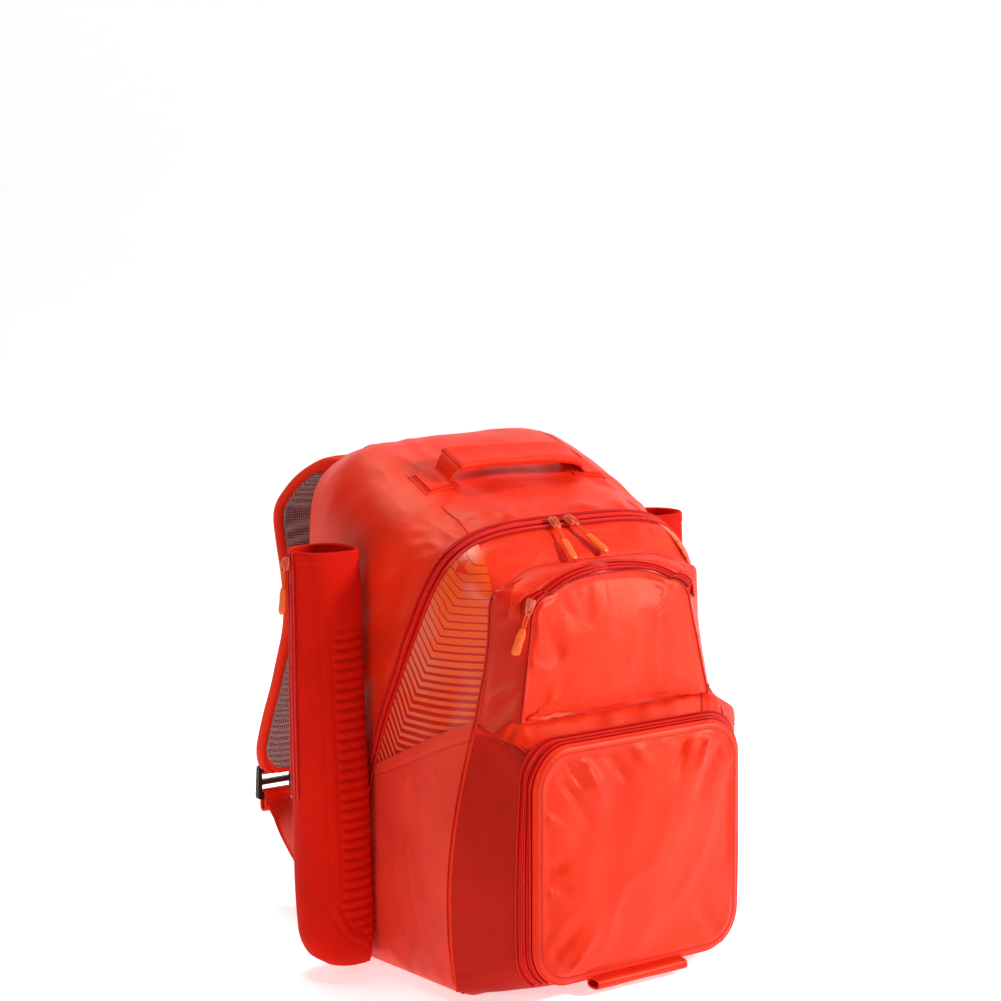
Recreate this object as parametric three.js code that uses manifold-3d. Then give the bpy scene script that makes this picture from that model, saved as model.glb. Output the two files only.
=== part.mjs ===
// A backpack for a ball player, with an open bat sleeve on each side.
// It stands on its base: X runs across, -Y is the front, +Z is up, in millimetres.
// Every depth is first measured from the line between the two sleeves. At the end the
// whole bag is shifted so that the origin is on the floor, under the middle of its box.
import * as THREE from 'three';
import Module from 'manifold-3d';
import { mergeVertices } from 'three/addons/utils/BufferGeometryUtils.js';

// Main body
const bodyWidth = 320;
const bodyHeight = 474;
const backDepth = 112;
const frontDepth = 138;
const wall = 2.5;
const seat = 0.4;
const baseRadius = 22;
const backEdgeRadius = 24;
const rimGap = 0.8;
const cornerRoll = 3;

// Zips
const zipWidth = 15;
const zipThickness = 2.2;
const zipEndHeight = 154;

// Upper front pocket
const upperBaseHeight = 246;
const upperTopHeight = 368;
const upperHalfWidth = 99;
const upperBaseDepth = 28;
const upperTopDepth = 18;
const upperFlare = 9;
const upperCrown = 7;
const upperBaseSpread = 10;
const upperTopTaper = 6;
const upperBaseCorner = 10;
const upperTopCorner = 0.46; // of the half width

// Lower front pocket
const lowerBottomHeight = 3;
const lowerTopHeight = 243;
const lowerDepth = 56;
const lidHalfWidth = 119;
const lidBottomHeight = 15;
const lidTopHeight = 229;
const lidCornerRadius = 38;
const lidEdge = 5;
const lidCrown = 7;

// Side pockets
const sidePocketRear = 205;
const sidePocketFront = 243;
const sidePocketWall = 1.6;
const rightPocketGape = 24;

// Bat sleeves
const sleeveHeight = 388;
const sleeveAcross = 63;
const sleeveAlong = 56;
const sleeveFloor = 10;
const sleeveLean = 18;
const sleeveSetback = 10;
const sleeveWall = 3;
const sleeveStandoff = 3.3;
const sleeveZipLength = 226;
const sleeveZipWidth = 11;

// Shoulder straps, buckles and webbing
const strapWidth = 72;
const strapThickness = 11;
const meshThickness = 1.6;
const strapBinding = 8;
const webbingWidth = 30;
const webbingThickness = 2;
const buckleWidth = 44;
const buckleHeight = 34;
const buckleThickness = 5;
const buckleBar = 5;
const wingThickness = 2.4;
const wingTop = 124;
const wingBottom = 44;
const wingFold = 5;
const wingSag = 4;

// Carry handle, hang loop and base loop
const handleHalfSpan = 86;
const handleSetback = -12;
const handleLift = 26;
const handleWidth = 27;
const handleThickness = 2.6;
const gripThickness = 9;
const hangLoopWidth = 25;
const hangLoopHeight = 34;
const hangLoopThickness = 2.4;
const baseLoopLength = 104;
const baseLoopHeight = 10;
const baseLoopDepth = 17;
const baseLoopWall = 1.6;
const baseLoopSides = 16;

// Slider and pull
const sliderLength = 11;
const sliderWidth = 9;
const sliderHeight = 5;
const pullCordLength = 16;
const pullCordWidth = 3.4;
const pullTipLength = 24;
const pullTipWidth = 9;
const pullTipThickness = 4.6;

// Values that follow from the sizes above
const halfBody = bodyWidth / 2;
const bodyDepth = backDepth + frontDepth;
const backY = backDepth;
const cornerY = -frontDepth;
const faceY = cornerY - cornerRoll;
const lidY = faceY - seat - lowerDepth;

// The body's arch at each depth, back panel first: depth is a share of the body's depth,
// top and drop are shares of its height, and round is the shoulder's superellipse power.
const ARCH = [
  { depth: 0.00, top: 0.968, drop: 0.18, round: 3.4 },
  { depth: 0.10, top: 0.990, drop: 0.19, round: 3.7 },
  { depth: 0.20, top: 1.000, drop: 0.20, round: 3.9 },
  { depth: 0.33, top: 0.980, drop: 0.21, round: 3.7 },
  { depth: 0.45, top: 0.950, drop: 0.20, round: 3.8 },
  { depth: 0.65, top: 0.903, drop: 0.19, round: 3.4 },
  { depth: 0.83, top: 0.863, drop: 0.16, round: 3.6 },
  { depth: 0.92, top: 0.830, drop: 0.12, round: 4.2 },
  { depth: 1.00, top: 0.782, drop: 0.08, round: 4.6 },
];

// Half-widths by height, as shares of half the body's width, at the back panel,
// at the sleeve line and at the front corner seam.
const WIDTHS = [
  { height: 0.00, back: 0.90, side: 0.975, corner: 0.98 },
  { height: 0.10, back: 0.94, side: 1.000, corner: 1.03 },
  { height: 0.30, back: 0.95, side: 1.000, corner: 1.04 },
  { height: 0.48, back: 0.95, side: 1.000, corner: 1.00 },
  { height: 0.58, back: 0.94, side: 0.995, corner: 0.89 },
  { height: 0.72, back: 0.93, side: 0.990, corner: 0.81 },
  { height: 0.86, back: 0.92, side: 0.975, corner: 0.73 },
  { height: 1.00, back: 0.90, side: 0.950, corner: 0.70 },
];
const SIDE_DEPTH = 0.45;

// The seam between the rear and front halves, seen from the side: depth by height.
const SEAM = [
  { height: 0.00, depth: 0.40 },
  { height: 0.20, depth: 0.43 },
  { height: 0.35, depth: 0.48 },
  { height: 0.60, depth: 0.665 },
  { height: 0.76, depth: 0.785 },
  { height: 0.85, depth: 0.832 },
  { height: 0.90, depth: 0.846 },
];

// A sleeve by height: outer and long are shares of its mouth, bend a share of its lean.
const SLEEVE = [
  { height: 0.00, outer: 0.66, long: 0.66, bend: -1.00 },
  { height: 0.03, outer: 0.92, long: 0.96, bend: -0.97 },
  { height: 0.09, outer: 1.05, long: 1.14, bend: -0.91 },
  { height: 0.35, outer: 1.06, long: 1.16, bend: -0.65 },
  { height: 0.65, outer: 1.04, long: 1.10, bend: -0.35 },
  { height: 0.90, outer: 1.00, long: 1.02, bend: -0.10 },
  { height: 1.00, outer: 1.00, long: 1.00, bend: 0.00 },
];

// The left strap's outer edge, as shares of half the body's width, the back's depth and
// the body's height. wide is a share of the strap's width.
const STRAP = [
  { edge: 0.62, behind: 1.00, height: 0.942, wide: 0.80 },
  { edge: 0.71, behind: 1.13, height: 0.945, wide: 0.84 },
  { edge: 0.81, behind: 1.25, height: 0.922, wide: 0.90 },
  { edge: 0.89, behind: 1.34, height: 0.886, wide: 0.96 },
  { edge: 0.935, behind: 1.39, height: 0.846, wide: 1.00 },
  { edge: 0.94, behind: 1.36, height: 0.790, wide: 1.00 },
  { edge: 0.94, behind: 1.29, height: 0.726, wide: 0.99 },
  { edge: 0.94, behind: 1.25, height: 0.660, wide: 0.97 },
  { edge: 0.94, behind: 1.30, height: 0.589, wide: 0.96 },
  { edge: 0.94, behind: 1.44, height: 0.502, wide: 0.95 },
  { edge: 0.94, behind: 1.60, height: 0.414, wide: 0.93 },
  { edge: 0.935, behind: 1.70, height: 0.352, wide: 0.90 },
  { edge: 0.90, behind: 1.76, height: 0.315, wide: 0.76 },
  { edge: 0.85, behind: 1.785, height: 0.292, wide: 0.56 },
];

// The carry handle from its left seat to its right one: across is a share of its half
// span, lift a share of its lift, and grip how far it has the grip's thickness.
const HANDLE = [
  { across: -1.16, lift: 0.00, grip: 0.0, wide: 1.00 },
  { across: -0.98, lift: 0.00, grip: 0.0, wide: 1.00 },
  { across: -0.90, lift: 0.16, grip: 0.0, wide: 0.96 },
  { across: -0.88, lift: 0.55, grip: 0.0, wide: 0.94 },
  { across: -0.84, lift: 0.92, grip: 0.2, wide: 1.00 },
  { across: -0.72, lift: 1.00, grip: 1.0, wide: 1.08 },
  { across: -0.30, lift: 0.98, grip: 1.0, wide: 1.10 },
  { across: 0.20, lift: 0.90, grip: 1.0, wide: 1.10 },
  { across: 0.62, lift: 0.78, grip: 1.0, wide: 1.08 },
  { across: 0.80, lift: 0.58, grip: 0.4, wide: 1.02 },
  { across: 0.90, lift: 0.20, grip: 0.0, wide: 0.96 },
  { across: 0.98, lift: 0.00, grip: 0.0, wide: 1.00 },
  { across: 1.16, lift: 0.00, grip: 0.0, wide: 1.00 },
];

// A slider with its pull: far is a share of its length, wide and thick are shares of the
// slider's, the cord's or the tip's own sizes.
const PULL = [
  { part: 'slider', far: 0.00, wide: 0.80, thick: 0.80 },
  { part: 'slider', far: 0.15, wide: 1.00, thick: 1.00 },
  { part: 'slider', far: 0.85, wide: 0.90, thick: 0.90 },
  { part: 'cord', far: 0.05, wide: 1.00, thick: 1.00 },
  { part: 'cord', far: 0.95, wide: 1.00, thick: 1.00 },
  { part: 'tip', far: 0.05, wide: 0.80, thick: 0.90 },
  { part: 'tip', far: 0.20, wide: 1.00, thick: 1.00 },
  { part: 'tip', far: 0.85, wide: 1.00, thick: 1.00 },
  { part: 'tip', far: 1.00, wide: 0.66, thick: 0.70 },
];

// Colours
const RED = { color: 0xf23a26, roughness: 0.62, metalness: 0 };
const DEEP_RED = { color: 0xd41f12, roughness: 0.7, metalness: 0 };
const ORANGE = { color: 0xff5a1a, roughness: 0.5, metalness: 0 };
const MESH_GREY = { color: 0x7d6260, roughness: 0.9, metalness: 0 };
const BLACK = { color: 0x161618, roughness: 0.5, metalness: 0 };

const bag = new THREE.Group();

function addPart(name, geometry, look) {
  const mesh = new THREE.Mesh(geometry, new THREE.MeshStandardMaterial(look));
  mesh.name = name;
  bag.add(mesh);
}

function lerp(a, b, share) {
  return a + (b - a) * share;
}

function shares(count) {
  return Array.from({ length: count + 1 }, (_, i) => i / count);
}

// A table row read between its rows on smooth cubic curves through them.
function readRow(table, key, at) {
  const last = table.length - 1;
  const value = Math.min(Math.max(at, table[0][key]), table[last][key]);
  let i = 0;
  while (i < last - 1 && value > table[i + 1][key]) i += 1;
  const span = table[i + 1][key] - table[i][key];
  const s = (value - table[i][key]) / span;
  const slope = (j, column) => {
    const before = table[Math.max(j - 1, 0)];
    const after = table[Math.min(j + 1, last)];
    return (after[column] - before[column]) / (after[key] - before[key]);
  };
  const found = {};
  for (const column of Object.keys(table[0])) {
    const start = table[i][column];
    const end = table[i + 1][column];
    const out = slope(i, column) * span;
    const into = slope(i + 1, column) * span;
    const rise = s * s * (3 - 2 * s);
    found[column] = start + (end - start) * rise
      + out * (s - 2 * s * s + s * s * s) + into * (s * s * s - s * s);
  }
  return found;
}

function depthShare(y) {
  return (backY - y) / bodyDepth;
}

function depthAt(share) {
  return backY - share * bodyDepth;
}

// Half of the body's width at height z and depth y.
function halfWidthAt(z, y) {
  const row = readRow(WIDTHS, 'height', z / bodyHeight);
  const depth = depthShare(y);
  const share = depth < SIDE_DEPTH
    ? lerp(row.back, row.side, Math.sin((Math.PI / 2) * Math.max(depth, 0) / SIDE_DEPTH))
    : lerp(row.side, row.corner, ((depth - SIDE_DEPTH) / (1 - SIDE_DEPTH)) ** 1.8);
  return halfBody * share;
}

// How many steps each stretch of the half outline takes, from the base's middle to the top.
const BASE_STEPS = 3;
const ROLL_STEPS = 3;
const SIDE_STEPS = 6;
const SHOULDER_STEPS = 6;
const HALF_STEPS = BASE_STEPS + ROLL_STEPS + SIDE_STEPS + SHOULDER_STEPS;

// One point of the half outline at depth y, by its step.
function archPoint(step, y) {
  const row = readRow(ARCH, 'depth', depthShare(y));
  const top = row.top * bodyHeight;
  const drop = row.drop * bodyHeight;
  const shoulder = top - drop;
  if (step <= BASE_STEPS) {
    const reach = halfWidthAt(0, y) - baseRadius;
    return new THREE.Vector3(reach * step / BASE_STEPS, y, 0);
  }
  if (step <= BASE_STEPS + ROLL_STEPS) {
    const angle = (Math.PI / 2) * (step - BASE_STEPS) / ROLL_STEPS;
    const z = baseRadius * (1 - Math.cos(angle));
    const reach = halfWidthAt(z, y) - baseRadius;
    return new THREE.Vector3(reach + baseRadius * Math.sin(angle), y, z);
  }
  if (step <= BASE_STEPS + ROLL_STEPS + SIDE_STEPS) {
    const share = (step - BASE_STEPS - ROLL_STEPS) / SIDE_STEPS;
    const z = lerp(baseRadius, shoulder, share);
    return new THREE.Vector3(halfWidthAt(z, y), y, z);
  }
  const turn = (step - BASE_STEPS - ROLL_STEPS - SIDE_STEPS) / SHOULDER_STEPS;
  const angle = (Math.PI / 2) * turn;
  const power = 2 / row.round;
  const z = shoulder + drop * Math.sin(angle) ** power;
  const across = Math.max(Math.cos(angle), 0) ** power;
  return new THREE.Vector3(halfWidthAt(z, y) * across, y, z);
}

// The depth of the seam between the halves where the outline's step crosses it.
function seamDepth(step) {
  let y = depthAt(SEAM[SEAM.length - 1].depth);
  for (let i = 0; i < 12; i += 1) {
    const z = archPoint(step, y).z;
    y = lerp(y, depthAt(readRow(SEAM, 'height', z / bodyHeight).depth), 0.7);
  }
  return y;
}
const SEAM_DEPTHS = shares(HALF_STEPS).map((_, step) => seamDepth(step));

function mirrored(p) {
  return new THREE.Vector3(-p.x, p.y, p.z);
}

// A whole ring round the body, with the depth of each step given by a function.
function archRing(depthOf) {
  const half = SEAM_DEPTHS.map((_, step) => archPoint(step, depthOf(step)));
  const other = half.slice(1, HALF_STEPS).reverse().map(mirrored);
  return [...half, ...other];
}

// The ring moved inwards in its own X-Z outline by a distance.
function inset(ring, distance, y) {
  return ring.map((p, i) => {
    const before = ring[(i + ring.length - 1) % ring.length];
    const after = ring[(i + 1) % ring.length];
    const along = new THREE.Vector3(after.x - before.x, 0, after.z - before.z).normalize();
    return new THREE.Vector3(p.x - along.z * distance, y, p.z + along.x * distance);
  });
}

function scaledRing(ring, share, y) {
  const heights = ring.map((p) => p.z);
  const middle = (Math.min(...heights) + Math.max(...heights)) / 2;
  return ring.map((p) => new THREE.Vector3(p.x * share, y, middle + (p.z - middle) * share));
}

function signedVolume(points, faces) {
  const cross = new THREE.Vector3();
  return faces.reduce((sum, [a, b, c]) => {
    cross.crossVectors(points[b], points[c]);
    return sum + points[a].dot(cross) / 6;
  }, 0);
}

// A closed body from points and triangles, turned so that its faces point out.
function bodyGeometry(points, faces) {
  const outward = signedVolume(points, faces) > 0 ? faces : faces.map(([a, b, c]) => [a, c, b]);
  const geometry = new THREE.BufferGeometry();
  const flat = points.flatMap((p) => [p.x, p.y, p.z]);
  geometry.setAttribute('position', new THREE.Float32BufferAttribute(flat, 3));
  geometry.setIndex(outward.flat());
  geometry.computeVertexNormals();
  return geometry;
}

function centreOf(ring) {
  const sum = ring.reduce((total, p) => total.add(p), new THREE.Vector3());
  return sum.divideScalar(ring.length);
}

// Faces between neighbouring rings. The ends close on a point, or on each other.
function ringBody(rings, joined = false) {
  const count = rings[0].length;
  const points = rings.flat();
  const faces = [];
  const strips = joined ? rings.length : rings.length - 1;
  for (let i = 0; i < strips; i += 1) {
    const here = i * count;
    const next = ((i + 1) % rings.length) * count;
    for (let j = 0; j < count; j += 1) {
      const k = (j + 1) % count;
      faces.push([here + j, here + k, next + k], [here + j, next + k, next + j]);
    }
  }
  if (!joined) {
    const ends = [[rings[0], 0, 1], [rings[rings.length - 1], (rings.length - 1) * count, -1]];
    for (const [ring, start, way] of ends) {
      points.push(centreOf(ring));
      const centre = points.length - 1;
      for (let j = 0; j < count; j += 1) {
        const k = (j + 1) % count;
        faces.push(way > 0 ? [centre, start + k, start + j] : [centre, start + j, start + k]);
      }
    }
  }
  return bodyGeometry(points, faces);
}

// Unit normals of a grid of points whose rows may close on themselves.
function gridNormals(rows, closed) {
  const last = rows.length - 1;
  return rows.map((row, i) => row.map((_, j) => {
    const count = row.length;
    const before = closed ? (j + count - 1) % count : Math.max(j - 1, 0);
    const after = closed ? (j + 1) % count : Math.min(j + 1, count - 1);
    const along = new THREE.Vector3().subVectors(row[after], row[before]);
    const across = new THREE.Vector3().subVectors(rows[Math.min(i + 1, last)][j], rows[Math.max(i - 1, 0)][j]);
    return along.cross(across).normalize();
  }));
}

function shifted(rows, normals, distance) {
  return rows.map((row, i) => row.map((p, j) => p.clone().addScaledVector(normals[i][j], distance)));
}

// The inner face of a wall. Its rim stays level with the outer one along the given axis.
function innerRings(rings, thickness, sign, axis) {
  const inner = shifted(rings, gridNormals(rings, true), sign * thickness);
  inner[0].forEach((p, i) => { p[axis] = rings[0][i][axis]; });
  return inner;
}

// A cup-like wall: rings run from its open rim to its closed end, and sign says which way is in.
function cup(rings, thickness, sign, axis = 'y') {
  return ringBody([...rings.slice().reverse(), ...innerRings(rings, thickness, sign, axis)]);
}

// A wall round an open tube.
function tubeWall(rings, thickness, sign, axis = 'y') {
  const inner = innerRings(rings, thickness, sign, axis);
  inner[inner.length - 1].forEach((p, i) => { p[axis] = rings[rings.length - 1][i][axis]; });
  return ringBody([...rings, ...inner.reverse()], true);
}

// A sheet between two grids of the same size, closed round its edges.
function slab(front, back) {
  const rows = front.length;
  const columns = front[0].length;
  const points = [...front.flat(), ...back.flat()];
  const offset = rows * columns;
  const faces = [];
  const quad = (a, b, c, d) => faces.push([a, b, c], [a, c, d]);
  for (let i = 0; i < rows - 1; i += 1) {
    for (let j = 0; j < columns - 1; j += 1) {
      const a = i * columns + j;
      const b = a + 1;
      const c = a + columns + 1;
      const d = a + columns;
      quad(a, b, c, d);
      quad(offset + d, offset + c, offset + b, offset + a);
    }
  }
  for (let j = 0; j < columns - 1; j += 1) {
    const end = (rows - 1) * columns + j;
    quad(offset + j, offset + j + 1, j + 1, j);
    quad(end, end + 1, offset + end + 1, offset + end);
  }
  for (let i = 0; i < rows - 1; i += 1) {
    const start = i * columns;
    const end = start + columns - 1;
    quad(start, start + columns, offset + start + columns, offset + start);
    quad(offset + end, offset + end + columns, end + columns, end);
  }
  return bodyGeometry(points, faces);
}

// A sheet of even thickness that floats a clearance off a grid, on its outer side.
function sheetOver(rows, clearance, thickness, sign) {
  const normals = gridNormals(rows, false);
  const under = shifted(rows, normals, sign * clearance);
  const over = shifted(rows, normals, sign * (clearance + thickness));
  return slab(under, over);
}

// Rear half: back panel, top, sides and base, open at the seam. Its back edge is rounded
// in steps, which are shares of a right angle.
const EDGE_TURNS = [0.35, 0.7, 1];
function rearShell() {
  const rim = (step) => SEAM_DEPTHS[step] + rimGap / 2;
  const edge = backY - backEdgeRadius;
  const rows = [0, zipWidth].map((far) => archRing((step) => rim(step) + far));
  for (const share of [0.4, 0.7, 1]) {
    rows.push(archRing((step) => lerp(rim(step) + zipWidth, edge, share)));
  }
  const outline = archRing(() => edge);
  for (const turn of EDGE_TURNS) {
    const angle = (Math.PI / 2) * turn;
    const y = edge + backEdgeRadius * Math.sin(angle);
    rows.push(inset(outline, backEdgeRadius * (1 - Math.cos(angle)), y));
  }
  const panel = rows[rows.length - 1];
  for (const share of [0.7, 0.3]) rows.push(scaledRing(panel, share, backY));
  return cup(rows, wall, 1);
}
addPart('rear_shell', rearShell(), RED);

// Front half: the patterned sides, the top slope and the face that carries the pockets.
function frontShell() {
  const rim = (step) => SEAM_DEPTHS[step] - rimGap / 2;
  const rows = [0, zipWidth].map((far) => archRing((step) => rim(step) - far));
  for (const share of [0.35, 0.7, 1]) {
    rows.push(archRing((step) => lerp(rim(step) - zipWidth, cornerY, share)));
  }
  const outline = archRing(() => cornerY);
  rows.push(inset(outline, cornerRoll, faceY));
  const face = rows[rows.length - 1];
  for (const share of [0.7, 0.3]) rows.push(scaledRing(face, share, faceY));
  return cup(rows, wall, -1);
}
addPart('front_shell', frontShell(), RED);

// The main zip runs up one side, over the top and down the other, over the seam.
function mainZip() {
  const first = SEAM_DEPTHS.findIndex((y, step) => archPoint(step, y).z > zipEndHeight && step > BASE_STEPS);
  const steps = SEAM_DEPTHS.map((_, step) => step).slice(first);
  const row = (step, far) => archPoint(step, SEAM_DEPTHS[step] + far);
  const half = steps.map((step) => [-1, -0.5, 0, 0.5, 1].map((side) => row(step, side * zipWidth * 0.45)));
  const other = half.slice(0, -1).reverse().map((points) => points.map(mirrored));
  return sheetOver([...half, ...other], 1.5 * seat, zipThickness, 1);
}
addPart('main_zip', mainZip(), DEEP_RED);

// A rounded outline in X and Z, counted from the middle of its base as the body's rings are.
function panelRing(halfBase, halfTop, bottom, top, baseCorner, topCorner, y) {
  const half = [];
  for (const share of [0, 0.5, 1]) half.push([share * (halfBase - baseCorner), bottom]);
  for (const turn of [1 / 3, 2 / 3, 1]) {
    const angle = (Math.PI / 2) * turn;
    half.push([halfBase - baseCorner * (1 - Math.sin(angle)), bottom + baseCorner * (1 - Math.cos(angle))]);
  }
  for (const share of [0.25, 0.5, 0.75, 1]) {
    half.push([lerp(halfBase, halfTop, share), lerp(bottom + baseCorner, top - topCorner, share)]);
  }
  for (const turn of [0.25, 0.5, 0.75, 1]) {
    const angle = (Math.PI / 2) * turn;
    half.push([halfTop - topCorner * (1 - Math.cos(angle)), top - topCorner * (1 - Math.sin(angle))]);
  }
  half.push([(halfTop - topCorner) / 2, top], [0, top]);
  const points = half.map(([x, z]) => new THREE.Vector3(x, y, z));
  return [...points, ...points.slice(1, -1).reverse().map(mirrored)];
}

function crowned(ring, share, y, crown) {
  return scaledRing(ring, share, y - crown * (1 - share * share));
}

// Upper pocket: a shallow arched pouch whose face leans back towards its top.
function upperOutline(grow, share) {
  const half = upperHalfWidth + grow;
  const corner = upperTopCorner * half;
  const top = upperTopHeight - upperFlare + grow;
  const flat = panelRing(half + upperBaseSpread, half - upperTopTaper, upperBaseHeight, top, upperBaseCorner, corner, 0);
  return flat.map((p) => {
    const up = (p.z - upperBaseHeight) / (upperTopHeight - upperBaseHeight);
    return new THREE.Vector3(p.x, faceY - seat - share * lerp(upperBaseDepth, upperTopDepth, up), p.z);
  });
}
function towardsMiddle(ring, share, crown) {
  const middle = centreOf(ring);
  return ring.map((p) => {
    const q = p.clone().lerp(middle, 1 - share);
    return q.setY(q.y - crown * (1 - share * share));
  });
}
function upperPocket() {
  const rows = [upperOutline(upperFlare, 0), upperOutline(upperFlare * 0.7, 0.45), upperOutline(upperFlare * 0.15, 0.94)];
  const face = upperOutline(0, 1);
  for (const share of [0.95, 0.75, 0.45, 0.15]) rows.push(towardsMiddle(face, share, upperCrown));
  return cup(rows, wall, -1);
}
addPart('upper_pocket', upperPocket(), RED);

// Lower pocket: a sloping gusset, and a lid that a zip holds round its sides and top.
function lowerOutline(share, y) {
  const base = halfWidthAt(lowerTopHeight / 2, cornerY) - cornerRoll;
  const top = halfWidthAt(lowerTopHeight, cornerY) - cornerRoll;
  return panelRing(
    lerp(base, lidHalfWidth, share),
    lerp(top, lidHalfWidth, share),
    lerp(lowerBottomHeight, lidBottomHeight, share),
    lerp(lowerTopHeight, lidTopHeight, share),
    lerp(baseRadius, lidCornerRadius, share),
    lerp(baseRadius * 0.6, lidCornerRadius, share),
    y,
  );
}
const GUSSET = [
  { share: 0, forward: 0 },
  { share: 0.3, forward: 0.36 },
  { share: 0.64, forward: 0.7 },
  { share: 1, forward: 1 },
];
function gussetRing(row) {
  return lowerOutline(row.share, faceY - seat - lowerDepth * row.forward);
}
function lowerGusset() {
  return tubeWall(GUSSET.map(gussetRing), wall, -1);
}
addPart('lower_gusset', lowerGusset(), DEEP_RED);

function lowerLid() {
  const outline = lowerOutline(1, lidY);
  const rows = [outline.map((p) => p.clone().add(new THREE.Vector3(0, -seat, 0)))];
  rows.push(inset(outline, lidEdge * 0.3, lidY - lidEdge));
  const face = inset(outline, lidEdge, lidY - lidEdge);
  for (const share of [0.94, 0.75, 0.45, 0.15]) rows.push(crowned(face, share, lidY - lidEdge, lidCrown));
  return cup(rows, wall, -1);
}
addPart('lower_lid', lowerLid(), RED);

// A strip of zip along a stretch of the last step between two rings.
function stripBetween(from, to, first, count, start, end, sign) {
  const rows = [];
  for (let i = 0; i <= count; i += 1) {
    const j = (first + i) % from.length;
    rows.push([start, (start + end) / 2, end].map((share) => from[j].clone().lerp(to[j], share)));
  }
  return sheetOver(rows, seat, zipThickness, sign);
}
function lowerZip() {
  const from = gussetRing(GUSSET[2]);
  const to = gussetRing(GUSSET[3]);
  const skip = 5;
  return stripBetween(from, to, skip, from.length - 2 * skip, 0.38, 0.94, -1);
}
addPart('lower_zip', lowerZip(), DEEP_RED);

function upperZip() {
  const from = upperOutline(upperFlare, 0);
  const to = upperOutline(upperFlare * 0.7, 0.45);
  const skip = 10;
  return stripBetween(from, to, skip, from.length - 2 * skip, 0.2, 0.95, -1);
}
addPart('upper_zip', upperZip(), DEEP_RED);

// Side pockets: a sheet over the lower side, from the seam to the corner.
// gape lets the upper front of the sheet stand off the side.
function sidePocket(side, gape) {
  const rows = shares(9).map((up) => {
    return shares(6).map((along) => {
      const z = lerp(baseRadius, lerp(sidePocketRear, sidePocketFront, along), up);
      const back = depthAt(readRow(SEAM, 'height', z / bodyHeight).depth) - zipWidth / 2 - 2;
      const y = lerp(back, cornerY + 1, along);
      const open = gape * up ** 3 * Math.sin(Math.PI * along) ** 0.8;
      const bulge = 3 * Math.sin(Math.PI * along ** 1.8) * Math.sin(Math.PI * up);
      return new THREE.Vector3(side * (halfWidthAt(z, y) + 3 * seat + open + bulge), y, z);
    });
  });
  return sheetOver(rows, 0, sidePocketWall, -side);
}
addPart('side_pocket_left', sidePocket(-1, 0), RED);
addPart('side_pocket_right', sidePocket(1, rightPocketGape), RED);

// A geometry reduced to its shared points and triangles.
function merged(geometry) {
  const bare = geometry.clone();
  bare.deleteAttribute('normal');
  bare.deleteAttribute('uv');
  return mergeVertices(bare, 1e-4);
}

function mirroredGeometry(geometry) {
  const copy = merged(geometry);
  const index = Array.from(copy.getIndex().array);
  copy.scale(-1, 1, 1);
  for (let i = 0; i < index.length; i += 3) [index[i], index[i + 1]] = [index[i + 1], index[i]];
  copy.setIndex(index);
  copy.computeVertexNormals();
  return copy;
}

function addPair(name, geometry, look) {
  addPart(`${name}_left`, geometry, look);
  addPart(`${name}_right`, mirroredGeometry(geometry), look);
}

// A point on the left sleeve, flat where it lies on the body's side. Turn 0 faces outwards.
function sleevePoint(height, turn) {
  const row = readRow(SLEEVE, 'height', height);
  const across = sleeveAcross * row.outer / 2;
  const along = sleeveAlong * row.long / 2;
  const reach = Math.cos(turn);
  const power = reach < 0 ? 0.55 : 0.92;
  const out = Math.sign(reach) * Math.abs(reach) ** power;
  return new THREE.Vector3(
    -(halfBody + sleeveStandoff + across * (1 + out)),
    sleeveSetback + row.bend * sleeveLean + along * Math.sin(turn),
    lerp(sleeveFloor, sleeveHeight, height),
  );
}
const SLEEVE_SIDES = 16;
function sleeveRing(height) {
  return Array.from({ length: SLEEVE_SIDES }, (_, i) => sleevePoint(height, 2 * Math.PI * (i + 0.5) / SLEEVE_SIDES));
}
function batSleeve() {
  const rows = [1, 0.93, 0.8, 0.65, 0.5, 0.35, 0.2, 0.09, 0.03, 0].map(sleeveRing);
  const floor = rows[rows.length - 1];
  rows.push(towardsMiddle(floor, 0.5, 0));
  return cup(rows, sleeveWall, -1, 'z');
}
addPair('bat_sleeve', batSleeve(), DEEP_RED);

// The zip down the outside of each sleeve.
const SLEEVE_ZIP_TURN = 0.14;
function sleeveZip() {
  const end = 1 - sleeveZipLength / (sleeveHeight - sleeveFloor);
  const spread = sleeveZipWidth / sleeveAlong;
  const rows = shares(8).map((down) => [-1, 0, 1].map((side) => (
    sleevePoint(lerp(0.995, end, down), SLEEVE_ZIP_TURN + side * spread)
  )));
  return sheetOver(rows, seat, zipThickness, 1);
}
addPair('sleeve_zip', sleeveZip(), DEEP_RED);

// A rounded strip lofted through stations: each has its place, the direction of its
// width, and its width and thickness.
const STRIP_SECTION = [[1, -0.55], [1, 0.55], [0.94, 1], [0, 1], [-0.94, 1], [-1, 0.55], [-1, -0.55], [-0.94, -1], [0, -1], [0.94, -1]];
function stationFrame(stations, i) {
  const before = stations[Math.max(i - 1, 0)].at;
  const after = stations[Math.min(i + 1, stations.length - 1)].at;
  const along = new THREE.Vector3().subVectors(after, before).normalize();
  const across = stations[i].across;
  return { across, up: new THREE.Vector3().crossVectors(along, across).normalize() };
}
function stripAlong(stations) {
  const rings = stations.map((station, i) => {
    const { up, across } = stationFrame(stations, i);
    return STRIP_SECTION.map(([u, v]) => station.at.clone()
      .addScaledVector(across, u * station.wide / 2)
      .addScaledVector(up, v * station.thick / 2));
  });
  return ringBody(rings);
}

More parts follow.
